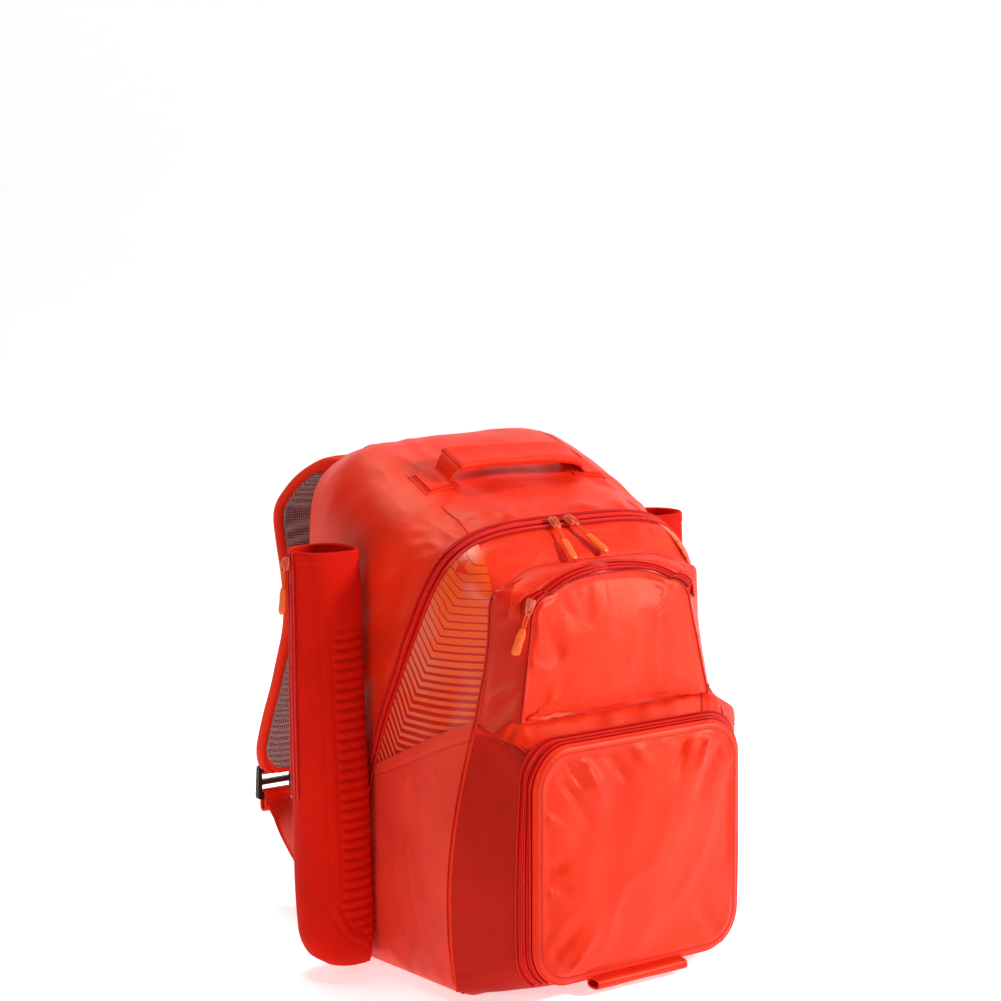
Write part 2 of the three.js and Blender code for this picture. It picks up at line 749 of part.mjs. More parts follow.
// The padded shoulder strap hangs behind the back panel from its top edge.
const ACROSS = new THREE.Vector3(1, 0, 0);
const STRAP_STATIONS = 20;
function strapStations(count) {
  const rows = STRAP.map((row, i) => ({ ...row, at: i }));
  return shares(count).map((share) => {
    const row = readRow(rows, 'at', share * (STRAP.length - 1));
    const wide = row.wide * strapWidth;
    const x = -(row.edge * halfBody - wide / 2);
    const at = new THREE.Vector3(x, row.behind * backDepth, row.height * bodyHeight);
    return { at, across: ACROSS, wide, thick: strapThickness };
  });
}
addPair('shoulder_strap', stripAlong(strapStations(STRAP_STATIONS)), RED);

// The mesh pad lines the strap's face towards the back panel.
function strapMesh() {
  const stations = strapStations(STRAP_STATIONS).slice(3, -1);
  const off = strapThickness / 2 + seat + meshThickness / 2;
  return stripAlong(stations.map((station, i) => {
    const { up } = stationFrame(stations, i);
    return {
      at: station.at.clone().addScaledVector(up, off),
      across: station.across,
      wide: Math.max(station.wide - 2 * strapBinding, strapBinding),
      thick: meshThickness,
    };
  }));
}
addPair('strap_mesh', strapMesh(), MESH_GREY);

// Booleans, for the cuts and joins in the small hard pieces.
const wasm = await Module();
wasm.setup();
function solidOf(geometry) {
  const bare = merged(geometry);
  return new wasm.Manifold(new wasm.Mesh({
    numProp: 3,
    vertProperties: new Float32Array(bare.attributes.position.array),
    triVerts: new Uint32Array(bare.index.array),
  }));
}
function geometryOf(solid) {
  const mesh = solid.getMesh();
  const geometry = new THREE.BufferGeometry();
  geometry.setAttribute('position', new THREE.Float32BufferAttribute(mesh.vertProperties, 3));
  geometry.setIndex(Array.from(mesh.triVerts));
  geometry.computeVertexNormals();
  return geometry;
}
function boxAt(width, depth, height, at) {
  return solidOf(new THREE.BoxGeometry(width, depth, height).translate(at.x, at.y, at.z));
}

// The strap adjuster hangs below the strap's end: a frame with a slot above its middle
// bar and one below it.
const strapEnd = strapStations(STRAP_STATIONS)[STRAP_STATIONS].at;
const loopRoom = buckleThickness / 2 + 0.5;
const buckleAt = new THREE.Vector3(
  strapEnd.x,
  strapEnd.y + strapThickness / 2 + seat + webbingThickness + loopRoom,
  strapEnd.z + buckleBar - buckleHeight / 2,
);
const slotHeight = (buckleHeight - 3 * buckleBar) / 2;
function strapBuckle() {
  const corner = 4;
  const shape = new THREE.Shape();
  const half = buckleWidth / 2;
  shape.moveTo(-half + corner, -buckleHeight / 2);
  shape.lineTo(half - corner, -buckleHeight / 2);
  shape.quadraticCurveTo(half, -buckleHeight / 2, half, -buckleHeight / 2 + corner);
  shape.lineTo(half * 0.94, buckleHeight / 2 - corner);
  shape.quadraticCurveTo(half * 0.94, buckleHeight / 2, half * 0.94 - corner, buckleHeight / 2);
  shape.lineTo(-half * 0.94 + corner, buckleHeight / 2);
  shape.quadraticCurveTo(-half * 0.94, buckleHeight / 2, -half * 0.94, buckleHeight / 2 - corner);
  shape.lineTo(-half, -buckleHeight / 2 + corner);
  shape.quadraticCurveTo(-half, -buckleHeight / 2, -half + corner, -buckleHeight / 2);
  const plate = new THREE.ExtrudeGeometry(shape, { depth: buckleThickness, bevelEnabled: false, curveSegments: 3 });
  plate.rotateX(Math.PI / 2).translate(buckleAt.x, buckleAt.y + buckleThickness / 2, buckleAt.z);
  let body = solidOf(plate);
  for (const side of [-1, 1]) {
    const z = buckleAt.z + side * (slotHeight + buckleBar) / 2;
    const slot = boxAt(buckleWidth - 2 * buckleBar, 3 * buckleThickness, slotHeight, buckleAt.clone().setZ(z));
    body = body.subtract(slot);
  }
  return geometryOf(body);
}
addPair('strap_buckle', strapBuckle(), BLACK);

// A flat webbing loop in the Y-Z plane, with stadium ends, of a given width across.
function webbingLoop(middle, halfHeight, halfGap, width, thickness) {
  const outline = (grow) => {
    const points = [];
    const radius = halfGap + grow;
    const reach = halfHeight - halfGap;
    for (const end of [1, -1]) {
      for (const turn of shares(6)) {
        const angle = Math.PI * turn;
        points.push(new THREE.Vector2(end * radius * Math.cos(angle), end * (reach + radius * Math.sin(angle))));
      }
    }
    return points;
  };
  const shape = new THREE.Shape(outline(thickness));
  shape.holes.push(new THREE.Path(outline(0).reverse()));
  const loop = new THREE.ExtrudeGeometry(shape, { depth: width, bevelEnabled: false });
  loop.translate(0, 0, -width / 2).rotateX(Math.PI / 2).rotateZ(Math.PI / 2);
  return loop.translate(middle.x, middle.y, middle.z);
}

const barReach = (buckleHeight - buckleBar) / 2;
const loopReach = 9;
function buckleLoop(way) {
  const middle = buckleAt.clone().setZ(buckleAt.z + way * (barReach + loopReach - loopRoom - 2));
  return webbingLoop(middle, loopReach, loopRoom, webbingWidth, webbingThickness);
}
addPair('strap_loop', buckleLoop(1), RED);
addPair('wing_loop', buckleLoop(-1), RED);

// The wing is a folded triangle of cloth from the bag's lower rear edge to the buckle.
function strapWing() {
  const edge = backY - backEdgeRadius;
  const off = backEdgeRadius + seat + wingThickness / 2;
  const turn = (Math.PI / 2) * EDGE_TURNS[1];
  const bagEnd = (u) => {
    const z = lerp(wingTop, wingBottom, u);
    const reach = halfWidthAt(z, edge) - backEdgeRadius + off * Math.cos(turn);
    return new THREE.Vector3(-reach, edge + off * Math.sin(turn), z);
  };
  const loopFace = buckleAt.y - loopRoom - webbingThickness - seat - wingThickness / 2;
  const buckleEnd = (u) => new THREE.Vector3(
    buckleAt.x + lerp(0.45, -0.45, u) * webbingWidth,
    loopFace,
    buckleAt.z - barReach - lerp(0.5, 1, u) * loopReach,
  );
  const rows = shares(8).map((out) => shares(6).map((u) => {
    const at = bagEnd(u).lerp(buckleEnd(u), out);
    const fold = Math.sin(Math.PI * out) * Math.sin(Math.PI * u);
    return at.add(new THREE.Vector3(-wingFold * fold, 0, -wingSag * Math.sin(Math.PI * out)));
  }));
  return sheetOver(rows, -wingThickness / 2, wingThickness, 1);
}
addPair('strap_wing', strapWing(), RED);

// The height of the body's upper surface over a point.
function topHeight(x, y) {
  const row = readRow(ARCH, 'depth', depthShare(y));
  const drop = row.drop * bodyHeight;
  const shoulder = row.top * bodyHeight - drop;
  const half = halfWidthAt(shoulder + drop * 0.8, y);
  const across = Math.min(Math.abs(x) / half, 1);
  return shoulder + drop * (1 - across ** row.round) ** (1 / row.round);
}
function topNormal(x, y) {
  const step = 4;
  const sideways = (topHeight(x + step, y) - topHeight(x - step, y)) / (2 * step);
  const fore = (topHeight(x, y + step) - topHeight(x, y - step)) / (2 * step);
  return new THREE.Vector3(-sideways, -fore, 1).normalize();
}

// The carry handle crosses the top panel between two stitched seats.
function carryHandle() {
  const rows = HANDLE.map((row, i) => ({ ...row, at: i }));
  const stations = shares(18).map((share) => {
    const row = readRow(rows, 'at', share * (HANDLE.length - 1));
    const x = row.across * handleHalfSpan;
    const normal = topNormal(x, handleSetback);
    const thick = lerp(handleThickness, gripThickness, Math.min(Math.max(row.grip, 0), 1));
    const at = new THREE.Vector3(x, handleSetback, topHeight(x, handleSetback));
    at.addScaledVector(normal, 2 * seat + thick / 2 + Math.max(row.lift, 0) * handleLift);
    const across = new THREE.Vector3(0, normal.z, -normal.y).normalize();
    return { at, across, wide: row.wide * handleWidth, thick };
  });
  return stripAlong(stations);
}
addPart('carry_handle', carryHandle(), RED);

// A small loop at the middle of the back panel's top edge.
function hangLoop() {
  const gap = hangLoopWidth / 5;
  const panelTop = readRow(ARCH, 'depth', 0).top * bodyHeight - backEdgeRadius;
  const middle = new THREE.Vector3(0, backY + seat + hangLoopThickness + gap, panelTop + hangLoopHeight / 2 - 2 * gap);
  return webbingLoop(middle, hangLoopHeight / 2 - hangLoopThickness, gap, hangLoopWidth, hangLoopThickness);
}
addPart('hang_loop', hangLoop(), RED);

// A flat cloth tunnel along the lower edge of the lid, open at both ends.
function baseLoop() {
  const oval = (reach, rise) => Array.from({ length: baseLoopSides }, (_, i) => {
    const turn = 2 * Math.PI * i / baseLoopSides;
    const bulge = (v) => Math.sign(v) * Math.abs(v) ** 0.8;
    return new THREE.Vector2(reach * bulge(Math.cos(turn)), rise * bulge(Math.sin(turn)));
  });
  const reach = baseLoopDepth / 2;
  const rise = baseLoopHeight / 2;
  const shape = new THREE.Shape(oval(reach, rise));
  shape.holes.push(new THREE.Path(oval(reach - baseLoopWall, rise - baseLoopWall).reverse()));
  const loop = new THREE.ExtrudeGeometry(shape, { depth: baseLoopLength, bevelEnabled: false });
  loop.translate(0, 0, -baseLoopLength / 2).rotateX(Math.PI / 2).rotateZ(Math.PI / 2);
  return loop.translate(0, lidY - reach / 3, lidBottomHeight - seat - rise);
}
addPart('base_loop', baseLoop(), RED);

// A slider with its cord and moulded tip, along a straight way from the zip.
function zipPull(start, way, facing) {
  const sizes = {
    slider: { from: 0, long: sliderLength, wide: sliderWidth, thick: sliderHeight },
    cord: { from: sliderLength, long: pullCordLength, wide: pullCordWidth, thick: pullCordWidth },
    tip: { from: sliderLength + pullCordLength, long: pullTipLength, wide: pullTipWidth, thick: pullTipThickness },
  };
  const along = way.clone().normalize();
  const across = new THREE.Vector3().crossVectors(along, facing).normalize();
  return stripAlong(PULL.map((row) => {
    const size = sizes[row.part];
    const at = start.clone().addScaledVector(along, size.from + row.far * size.long);
    return { at, across, wide: row.wide * size.wide, thick: row.thick * size.thick };
  }));
}
const pullLift = 2 * seat + zipThickness + sliderHeight / 2;

// The two main pulls lie side by side on the slope below the zip's top run.
const MAIN_PULLS = [
  { name: 'main_pull_left', across: -0.13, end: -0.16 },
  { name: 'main_pull_right', across: -0.03, end: 0.12 },
];
const zipTopY = seamDepth(HALF_STEPS);
for (const pull of MAIN_PULLS) {
  const x = pull.across * halfBody;
  const start = new THREE.Vector3(x, zipTopY, topHeight(x, zipTopY));
  const foot = new THREE.Vector3(pull.end * halfBody, cornerY, topHeight(0, cornerY));
  const normal = topNormal(0, (zipTopY + cornerY) / 2);
  start.addScaledVector(normal, pullLift + 1.4);
  foot.addScaledVector(normal, pullLift + 2.4);
  addPart(pull.name, zipPull(start, foot.sub(start), normal), ORANGE);
}

// The upper pocket's pull hangs from the left end of its zip.
function upperPull() {
  const end = upperOutline(upperFlare * 0.85, 0.3);
  const at = end[end.length - 11].clone();
  at.add(new THREE.Vector3(-pullLift * 1.66, -pullLift * 1.06, 0));
  return zipPull(at, new THREE.Vector3(-0.24, 0.0, -1), new THREE.Vector3(-1, -0.5, 0));
}
addPart('upper_pull', upperPull(), ORANGE);

// Each sleeve's pull hangs outside its mouth.
function sleevePull() {
  const at = sleevePoint(0.985, SLEEVE_ZIP_TURN).add(new THREE.Vector3(-pullLift, 0, 0));
  return zipPull(at, new THREE.Vector3(-0.1, 0, -1), new THREE.Vector3(-1, 0, 0));
}
addPair('sleeve_pull', sleevePull(), ORANGE);

// Put the origin on the floor under the middle of the whole box.
const box = new THREE.Box3().setFromObject(bag);
const middle = box.getCenter(new THREE.Vector3());
bag.position.set(-middle.x, -middle.y, -box.min.z);

export default bag;
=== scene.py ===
import math
from functools import partial

import bmesh
import bpy
import numpy as np
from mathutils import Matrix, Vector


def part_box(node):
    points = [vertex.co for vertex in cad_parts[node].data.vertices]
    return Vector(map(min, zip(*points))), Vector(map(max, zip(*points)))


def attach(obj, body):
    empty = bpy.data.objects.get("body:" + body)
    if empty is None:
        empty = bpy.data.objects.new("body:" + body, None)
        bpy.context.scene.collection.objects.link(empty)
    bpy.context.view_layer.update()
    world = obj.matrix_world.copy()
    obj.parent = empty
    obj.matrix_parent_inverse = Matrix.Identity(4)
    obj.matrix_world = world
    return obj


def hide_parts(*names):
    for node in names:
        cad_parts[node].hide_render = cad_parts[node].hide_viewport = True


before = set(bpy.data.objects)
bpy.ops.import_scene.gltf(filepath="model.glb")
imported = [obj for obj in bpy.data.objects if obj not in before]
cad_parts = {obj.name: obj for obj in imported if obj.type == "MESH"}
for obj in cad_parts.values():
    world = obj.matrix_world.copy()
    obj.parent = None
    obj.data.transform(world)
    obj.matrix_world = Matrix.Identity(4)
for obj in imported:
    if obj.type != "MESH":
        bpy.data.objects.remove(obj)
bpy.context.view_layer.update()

# The camera was set so that the view looks like the photograph's.
VIEW_TURN = -38
camera_data = bpy.data.cameras.new("camera")
camera_data.sensor_width = 36
camera_data.lens = 99.26
camera = bpy.data.objects.new("camera", camera_data)
camera.location = (-1.5736, -2.0174, 0.7615)
camera.rotation_euler = (math.radians(82.3), 0, math.radians(VIEW_TURN))
bpy.context.scene.collection.objects.link(camera)
bpy.context.scene.camera = camera

# Lengths below are in millimetres. Depths are measured from the line between the two
# sleeves, as the frame was drawn, and SHIFT moves them into the frame.
MM = 0.001

BODY_WIDTH = 320
BODY_HEIGHT = 474
BACK_DEPTH = 112
FRONT_DEPTH = 138
SEAT = 0.4
BASE_RADIUS = 22
BACK_EDGE_RADIUS = 24
CORNER_ROLL = 3
CLOTH = 2.2

ZIP_WIDTH = 15
ZIP_END_HEIGHT = 154

UPPER_BASE_HEIGHT = 246
UPPER_TOP_HEIGHT = 368
UPPER_HALF_WIDTH = 99
UPPER_BASE_DEPTH = 28
UPPER_TOP_DEPTH = 18
UPPER_CROWN = 9

LOWER_BOTTOM_HEIGHT = 3
LOWER_TOP_HEIGHT = 243
LOWER_DEPTH = 56
LID_HALF_WIDTH = 119
LID_BOTTOM_HEIGHT = 15
LID_TOP_HEIGHT = 229
LID_CORNER_RADIUS = 38
LID_EDGE = 5
LID_CROWN = 10

SIDE_POCKET_REAR = 193
SIDE_POCKET_FRONT = 247
SIDE_POCKET_WALL = 1.6
RIGHT_POCKET_GAPE = 24

SLEEVE_HEIGHT = 388
SLEEVE_ACROSS = 63
SLEEVE_ALONG = 56
SLEEVE_FLOOR = 10
SLEEVE_LEAN = 18
SLEEVE_SETBACK = 10
SLEEVE_WALL = 3
SLEEVE_STANDOFF = 3.3
SLEEVE_ZIP_LENGTH = 226
SLEEVE_ZIP_WIDTH = 12
SLEEVE_ZIP_TURN = 0.14

STRAP_WIDTH = 72
STRAP_THICKNESS = 11
STRAP_BINDING = 8
WEBBING_WIDTH = 30
WEBBING_THICKNESS = 2
BUCKLE_HEIGHT = 34
BUCKLE_THICKNESS = 5
BUCKLE_BAR = 5
WING_TOP = 124
WING_BOTTOM = 44

HANDLE_HALF_SPAN = 86
HANDLE_SETBACK = -12
HANDLE_LIFT = 26
HANDLE_WIDTH = 27
HANDLE_THICKNESS = 2.6
GRIP_THICKNESS = 7
GRIP_WIDTH = 34
# The cloth grip lies this much lower than the solid handle that it stands for.
HANDLE_DROP = 8

HALF_BODY = BODY_WIDTH / 2
BODY_DEPTH = BACK_DEPTH + FRONT_DEPTH
CORNER_Y = -FRONT_DEPTH
FACE_Y = CORNER_Y - CORNER_ROLL
LID_Y = FACE_Y - SEAT - LOWER_DEPTH
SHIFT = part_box("rear_shell")[1][1] / MM - BACK_DEPTH

# Depth share, top, drop and roundness of the body's arch, from the back to the front.
ARCH = [
    (0.00, 0.968, 0.18, 3.4),
    (0.10, 0.990, 0.19, 3.7),
    (0.20, 1.000, 0.20, 3.9),
    (0.33, 0.980, 0.21, 3.7),
    (0.45, 0.950, 0.20, 3.8),
    (0.65, 0.903, 0.19, 3.4),
    (0.83, 0.863, 0.16, 3.6),
    (0.92, 0.830, 0.12, 4.2),
    (1.00, 0.782, 0.08, 4.6),
]

# Height share, then half-widths at the back, at the sleeves and at the front corner.
WIDTHS = [
    (0.00, 0.90, 0.975, 0.98),
    (0.10, 0.94, 1.000, 1.03),
    (0.30, 0.95, 1.000, 1.04),
    (0.48, 0.95, 1.000, 1.00),
    (0.58, 0.94, 0.995, 0.89),
    (0.72, 0.93, 0.990, 0.81),
    (0.86, 0.92, 0.975, 0.73),
    (1.00, 0.90, 0.950, 0.70),
]
SIDE_DEPTH = 0.45

# Height and half-width of the piping down the front's corners, in millimetres. The sides
# turn in towards it over the last CORNER_TURN of their depth.
BORDER = [
    (3, 157), (18, 160), (50, 164), (82, 165.5), (109, 165), (139, 162), (168, 157), (198, 150), (222, 143),
    (247, 135.5), (271, 130), (291, 125), (318, 121), (353, 119), (362, 116.6), (402, 112),
]
CORNER_TURN = 40

# Height share and depth share of the seam under the main zip.
SEAM = [(0.00, 0.40), (0.20, 0.43), (0.35, 0.48), (0.60, 0.665), (0.76, 0.785), (0.85, 0.832),
        (0.90, 0.846)]

# Height share, outer and long shares of the mouth, and bend share of the lean.
SLEEVE = [
    (0.00, 0.66, 0.66, -1.00),
    (0.03, 0.92, 0.96, -0.97),
    (0.09, 1.05, 1.14, -0.91),
    (0.35, 1.06, 1.16, -0.65),
    (0.65, 1.04, 1.10, -0.35),
    (0.90, 1.00, 1.02, -0.10),
    (1.00, 1.00, 1.00, 0.00),
]

# Position, outer edge, distance behind, height and width of the left strap.
STRAP = [
    (0, 0.62, 1.00, 0.942, 0.80),
    (1, 0.71, 1.13, 0.945, 0.84),
    (2, 0.81, 1.25, 0.922, 0.90),
    (3, 0.89, 1.34, 0.886, 0.96),
    (4, 0.935, 1.39, 0.846, 1.00),
    (5, 0.94, 1.36, 0.790, 1.00),
    (6, 0.94, 1.29, 0.726, 0.99),
    (7, 0.94, 1.25, 0.660, 0.97),
    (8, 0.94, 1.30, 0.589, 0.96),
    (9, 0.94, 1.44, 0.502, 0.95),
    (10, 0.94, 1.60, 0.414, 0.93),
    (11, 0.935, 1.70, 0.352, 0.90),
    (12, 0.90, 1.76, 0.315, 0.76),
    (13, 0.85, 1.785, 0.292, 0.56),
]

# Position, place across, lift and width of the carry handle.
HANDLE = [
    (0, -1.16, 0.00, 1.00),
    (1, -0.98, 0.00, 1.00),
    (2, -0.90, 0.16, 0.96),
    (3, -0.88, 0.55, 0.94),
    (4, -0.84, 0.92, 1.00),
    (5, -0.72, 1.00, 1.08),
    (6, -0.30, 0.98, 1.10),
    (7, 0.20, 0.90, 1.10),
    (8, 0.62, 0.78, 1.08),
    (9, 0.80, 0.58, 1.02),
    (10, 0.90, 0.20, 0.96),
    (11, 0.98, 0.00, 1.00),
    (12, 1.16, 0.00, 1.00),
]

# Share and forward share of the lower pocket's gusset.
GUSSET = [(0.0, 0.0), (0.3, 0.36), (0.64, 0.7), (1.0, 1.0)]


def lerp(a, b, share):
    return a + (b - a) * share


def smooth(low, high, value):
    """0 below low, 1 above high, with an eased step between them."""
    t = np.clip((np.asarray(value, float) - low) / (high - low), 0, 1)
    return t * t * (3 - 2 * t)


def table_row(table, at):
    """The columns after the first, read between the rows on smooth cubic curves."""
    rows = np.asarray(table, float)
    x = rows[:, 0]
    at = np.clip(np.asarray(at, float), x[0], x[-1])
    i = np.clip(np.searchsorted(x, at, side="right") - 1, 0, len(x) - 2)
    last = len(x) - 1

    def slope(j):
        before = np.clip(j - 1, 0, last)
        after = np.clip(j + 1, 0, last)
        return (rows[after, 1:] - rows[before, 1:]) / (x[after] - x[before])[..., None]

    span = (x[i + 1] - x[i])[..., None]
    s = (at - x[i])[..., None] / span
    rise = s * s * (3 - 2 * s)
    start = rows[i, 1:]
    end = rows[i + 1, 1:]
    found = start + (end - start) * rise
    found = found + slope(i) * span * (s - 2 * s ** 2 + s ** 3)
    found = found + slope(i + 1) * span * (s ** 3 - s ** 2)
    return np.moveaxis(found, -1, 0)


# Seeded noise for folds and puckers.
LATTICE = np.random.RandomState(11).uniform(-1, 1, (32, 32, 32))


def noise_at(points, size, seed=0):
    cell = np.asarray(points, float) / size + 7.3 * seed
    base = np.floor(cell).astype(int)
    part = cell - base
    ease = part ** 3 * (part * (part * 6 - 15) + 10)
    total = 0
    for corner in np.ndindex(2, 2, 2):
        at = (base + corner) % 32
        weight = np.prod(np.where(corner, ease, 1 - ease), axis=-1)
        total = total + weight * LATTICE[at[..., 0], at[..., 1], at[..., 2]]
    return total


def stretched(points, direction, factor):
    """The points squeezed along a direction, so that noise there makes long folds."""
    way = np.asarray(direction, float)
    way = way / np.linalg.norm(way)
    along = points @ way
    return points - along[..., None] * way * (1 - 1 / factor)


def folds(points, size, direction, factor=3.0, seed=0):
    """Soft ridges with sharper valleys, long in one direction."""
    q = stretched(points, direction, factor)
    bent = q + 0.35 * size * noise_at(q, size * 1.7, seed + 3)[..., None]
    return 0.6 * noise_at(bent, size, seed) + 0.5 * (0.4 - np.abs(noise_at(bent, size * 0.62, seed + 1)))


# Heights in millimetres of the folds and puckers on each piece. LID_FOLD_SHARE is a factor on the
# heights in LID_FOLDS.
REAR_FOLD = 5.0
REAR_SEAM_FOLD = 3.6
REAR_PUCKER = 1.8
FRONT_FOLD = 3.4
FRONT_PUCKER = 2.0
FACE_EDGE_FOLD = 4.0
FACE_FOLD = 5.0
FACE_PUCKER = 2.6
UPPER_GUSSET_FOLD = 4.0
UPPER_GUSSET_SWELL = 1.4
BAND_PUCKER = 3.4
BAND_FOLD = 4.0
BAND_SWELL = 1.2
LID_FOLD_SHARE = 2.4
LID_FOLD = 5.5
LID_PUCKER = 2.2
POCKET_LONG_FOLD = 4.6
POCKET_FOLD = 2.2
POCKET_PUCKER = 2.2

# Points inside the body and the pockets, which tell the outer side of a grid.
BODY_CENTRE = (0, 0, 200)
UPPER_CENTRE = (0, -100, 300)
GUSSET_CENTRE = (0, -60, 300)
LOWER_CENTRE = (0, -100, 120)


# The body's shape
def depth_share(y):
    return (BACK_DEPTH - np.asarray(y, float)) / BODY_DEPTH


def depth_at(share):
    return BACK_DEPTH - np.asarray(share, float) * BODY_DEPTH


def border(z):
    return table_row(BORDER, z)[0]


def half_width(z, y):
    back, side, corner = table_row(WIDTHS, np.asarray(z, float) / BODY_HEIGHT)
    depth = depth_share(y)
    behind = lerp(back, side, np.sin((math.pi / 2) * np.clip(depth, 0, SIDE_DEPTH) / SIDE_DEPTH))
    ahead = lerp(side, corner, np.clip((depth - SIDE_DEPTH) / (1 - SIDE_DEPTH), 0, None) ** 1.8)
    turned = np.clip((CORNER_Y + CORNER_TURN - np.asarray(y, float)) / CORNER_TURN, 0, 1) ** 2
    inset = np.clip(HALF_BODY * corner - border(z), 0, None) * turned
    return HALF_BODY * np.where(depth < SIDE_DEPTH, behind, ahead) - inset


BASE_STEPS = 3
ROLL_STEPS = 3
SIDE_STEPS = 6
SHOULDER_STEPS = 6
ROLL_END = BASE_STEPS + ROLL_STEPS
SIDE_END = ROLL_END + SIDE_STEPS
TOP_STEP = SIDE_END + SHOULDER_STEPS


def body_point(step, y):
    """A point of the body at depth y. Step counts from the base's middle to the top's,
    and is negative on the left."""
    step, y = np.broadcast_arrays(np.asarray(step, float), np.asarray(y, float))
    side = np.where(step < 0, -1.0, 1.0)
    step = np.abs(step)
    top, drop, power = table_row(ARCH, depth_share(y))
    top = top * BODY_HEIGHT
    drop = drop * BODY_HEIGHT
    shoulder = top - drop
    roll = np.clip((step - BASE_STEPS) / ROLL_STEPS, 0, 1) * math.pi / 2
    turn = np.clip((step - SIDE_END) / SHOULDER_STEPS, 0, 1) * math.pi / 2
    z_side = lerp(BASE_RADIUS, shoulder, np.clip((step - ROLL_END) / SIDE_STEPS, 0, 1))
    z_top = shoulder + drop * np.sin(turn) ** (2 / power)
    z = np.where(step <= ROLL_END, BASE_RADIUS * (1 - np.cos(roll)),
                 np.where(step <= SIDE_END, z_side, z_top))
    half = half_width(z, y)
    in_roll = half - BASE_RADIUS + BASE_RADIUS * np.sin(roll)
    in_base = (half_width(0 * z, y) - BASE_RADIUS) * step / BASE_STEPS
    in_top = half * np.clip(np.cos(turn), 0, 1) ** (2 / power)
    x = np.where(step <= BASE_STEPS, in_base, np.where(step <= ROLL_END, in_roll,
                                                       np.where(step <= SIDE_END, half, in_top)))
    return np.stack([side * x, y, z], -1)


def seam_depth(step):
    y = np.full(np.shape(step), depth_at(SEAM[-1][1]))
    for _ in range(14):
        z = body_point(step, y)[..., 2]
        y = lerp(y, depth_at(table_row(SEAM, z / BODY_HEIGHT)[0]), 0.7)
    return y


def top_height(x, y):
    top, drop, power = table_row(ARCH, depth_share(y))
    drop = drop * BODY_HEIGHT
    shoulder = top * BODY_HEIGHT - drop
    half = half_width(shoulder + drop * 0.8, y)
    across = np.clip(np.abs(x) / half, 0, 1)
    return shoulder + drop * (1 - across ** power) ** (1 / power)


def unit(v):
    return v / np.maximum(np.linalg.norm(v, axis=-1, keepdims=True), 1e-9)


def top_normal(x, y):
    step = 4
    sideways = (top_height(x + step, y) - top_height(x - step, y)) / (2 * step)
    fore = (top_height(x, y + step) - top_height(x, y - step)) / (2 * step)
    return unit(np.stack([-sideways, -fore, np.ones_like(sideways)], -1))


def body_normal(step, y):
    along = body_point(step + 0.08, y) - body_point(step - 0.08, y)
    deep = body_point(step, y + 1.0) - body_point(step, y - 1.0)
    normal = unit(np.cross(along, deep))
    way = np.sum(normal * (body_point(step, y) - (0, 0, BODY_HEIGHT / 2)) * (1, 0, 1), -1)
    return normal * np.where(way < 0, -1, 1)[..., None]


# Steps round a half outline, closer together where it bends.
HALF_STEPS = np.concatenate([
    np.linspace(0, BASE_STEPS, 6)[:-1],
    np.linspace(BASE_STEPS, ROLL_END, 8)[:-1],
    np.linspace(ROLL_END, SIDE_END, 46)[:-1],
    np.linspace(SIDE_END, TOP_STEP, 47),
])
RING_STEPS = np.concatenate([HALF_STEPS, -HALF_STEPS[1:-1][::-1]])


# Mesh building
def grid_normals(grid, centre, wrap):
    down = np.gradient(grid, axis=0)
    along = (np.roll(grid, -1, 1) - np.roll(grid, 1, 1)) / 2 if wrap else np.gradient(grid, axis=1)
    normals = unit(np.cross(along, down))
    way = np.sum(normals * (grid - np.asarray(centre, float)))
    return normals if way > 0 else -normals


def quads(rows, columns, wrap, start=0):
    i = start + np.arange(rows - 1)[:, None] * columns
    j = np.arange(columns if wrap else columns - 1)[None, :]
    k = (j + 1) % columns
    return np.stack([i + j, i + k, i + columns + k, i + columns + j], -1).reshape(-1, 4).tolist()


def shell_faces(rows, columns, wrap, capped=False):
    """Faces of a skin between an outer and an inner grid, closed along its edges."""
    inner = rows * columns
    faces = quads(rows, columns, wrap) + quads(rows, columns, wrap, inner)
    last = (rows - 1) * columns
    count = columns if wrap else columns - 1
    for j in range(count):
        k = (j + 1) % columns
        faces.append([j, k, inner + k, inner + j])
        if not capped:
            faces.append([last + j, last + k, inner + last + k, inner + last + j])
    if capped:
        faces.append([last + j for j in range(columns)])
        faces.append([inner + last + j for j in range(columns)])
    if not wrap:
        for i in range(rows - 1):
            a = i * columns
            b = a + columns
            faces.append([a, b, inner + b, inner + a])
            faces.append([a + columns - 1, b + columns - 1, inner + b + columns - 1,
                          inner + a + columns - 1])
    return faces


def add_uv(mesh, name, uv):
    layer = mesh.uv_layers.new(name=name)
    corners = np.zeros(len(mesh.loops), int)
    mesh.loops.foreach_get("vertex_index", corners)
    layer.data.foreach_set("uv", np.asarray(uv, float).reshape(-1, 2)[corners].ravel())


def add_piece(name, points, faces, material, replaces=(), sharp=48, uv=None):
    world = (np.asarray(points, float).reshape(-1, 3) + (0, SHIFT, 0)) * MM
    mesh = bpy.data.meshes.new(name)
    mesh.from_pydata(world.tolist(), [], faces)
    build = bmesh.new()
    build.from_mesh(mesh)
    bmesh.ops.recalc_face_normals(build, faces=build.faces)
    build.to_mesh(mesh)
    build.free()
    mesh.polygons.foreach_set("use_smooth", [True] * len(mesh.polygons))
    mesh.set_sharp_from_angle(angle=math.radians(sharp))
    if uv is not None:
        add_uv(mesh, "length", uv)
    mesh.materials.append(material)
    piece = bpy.data.objects.new(name, mesh)
    bpy.context.scene.collection.objects.link(piece)
    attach(piece, "root")
    if replaces:
        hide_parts(*replaces)
    return piece


def two_sided(over, under):
    """The points of a wall's outer and inner grids, as shell_faces counts them."""
    return np.concatenate([over.reshape(-1, 3), under.reshape(-1, 3)])


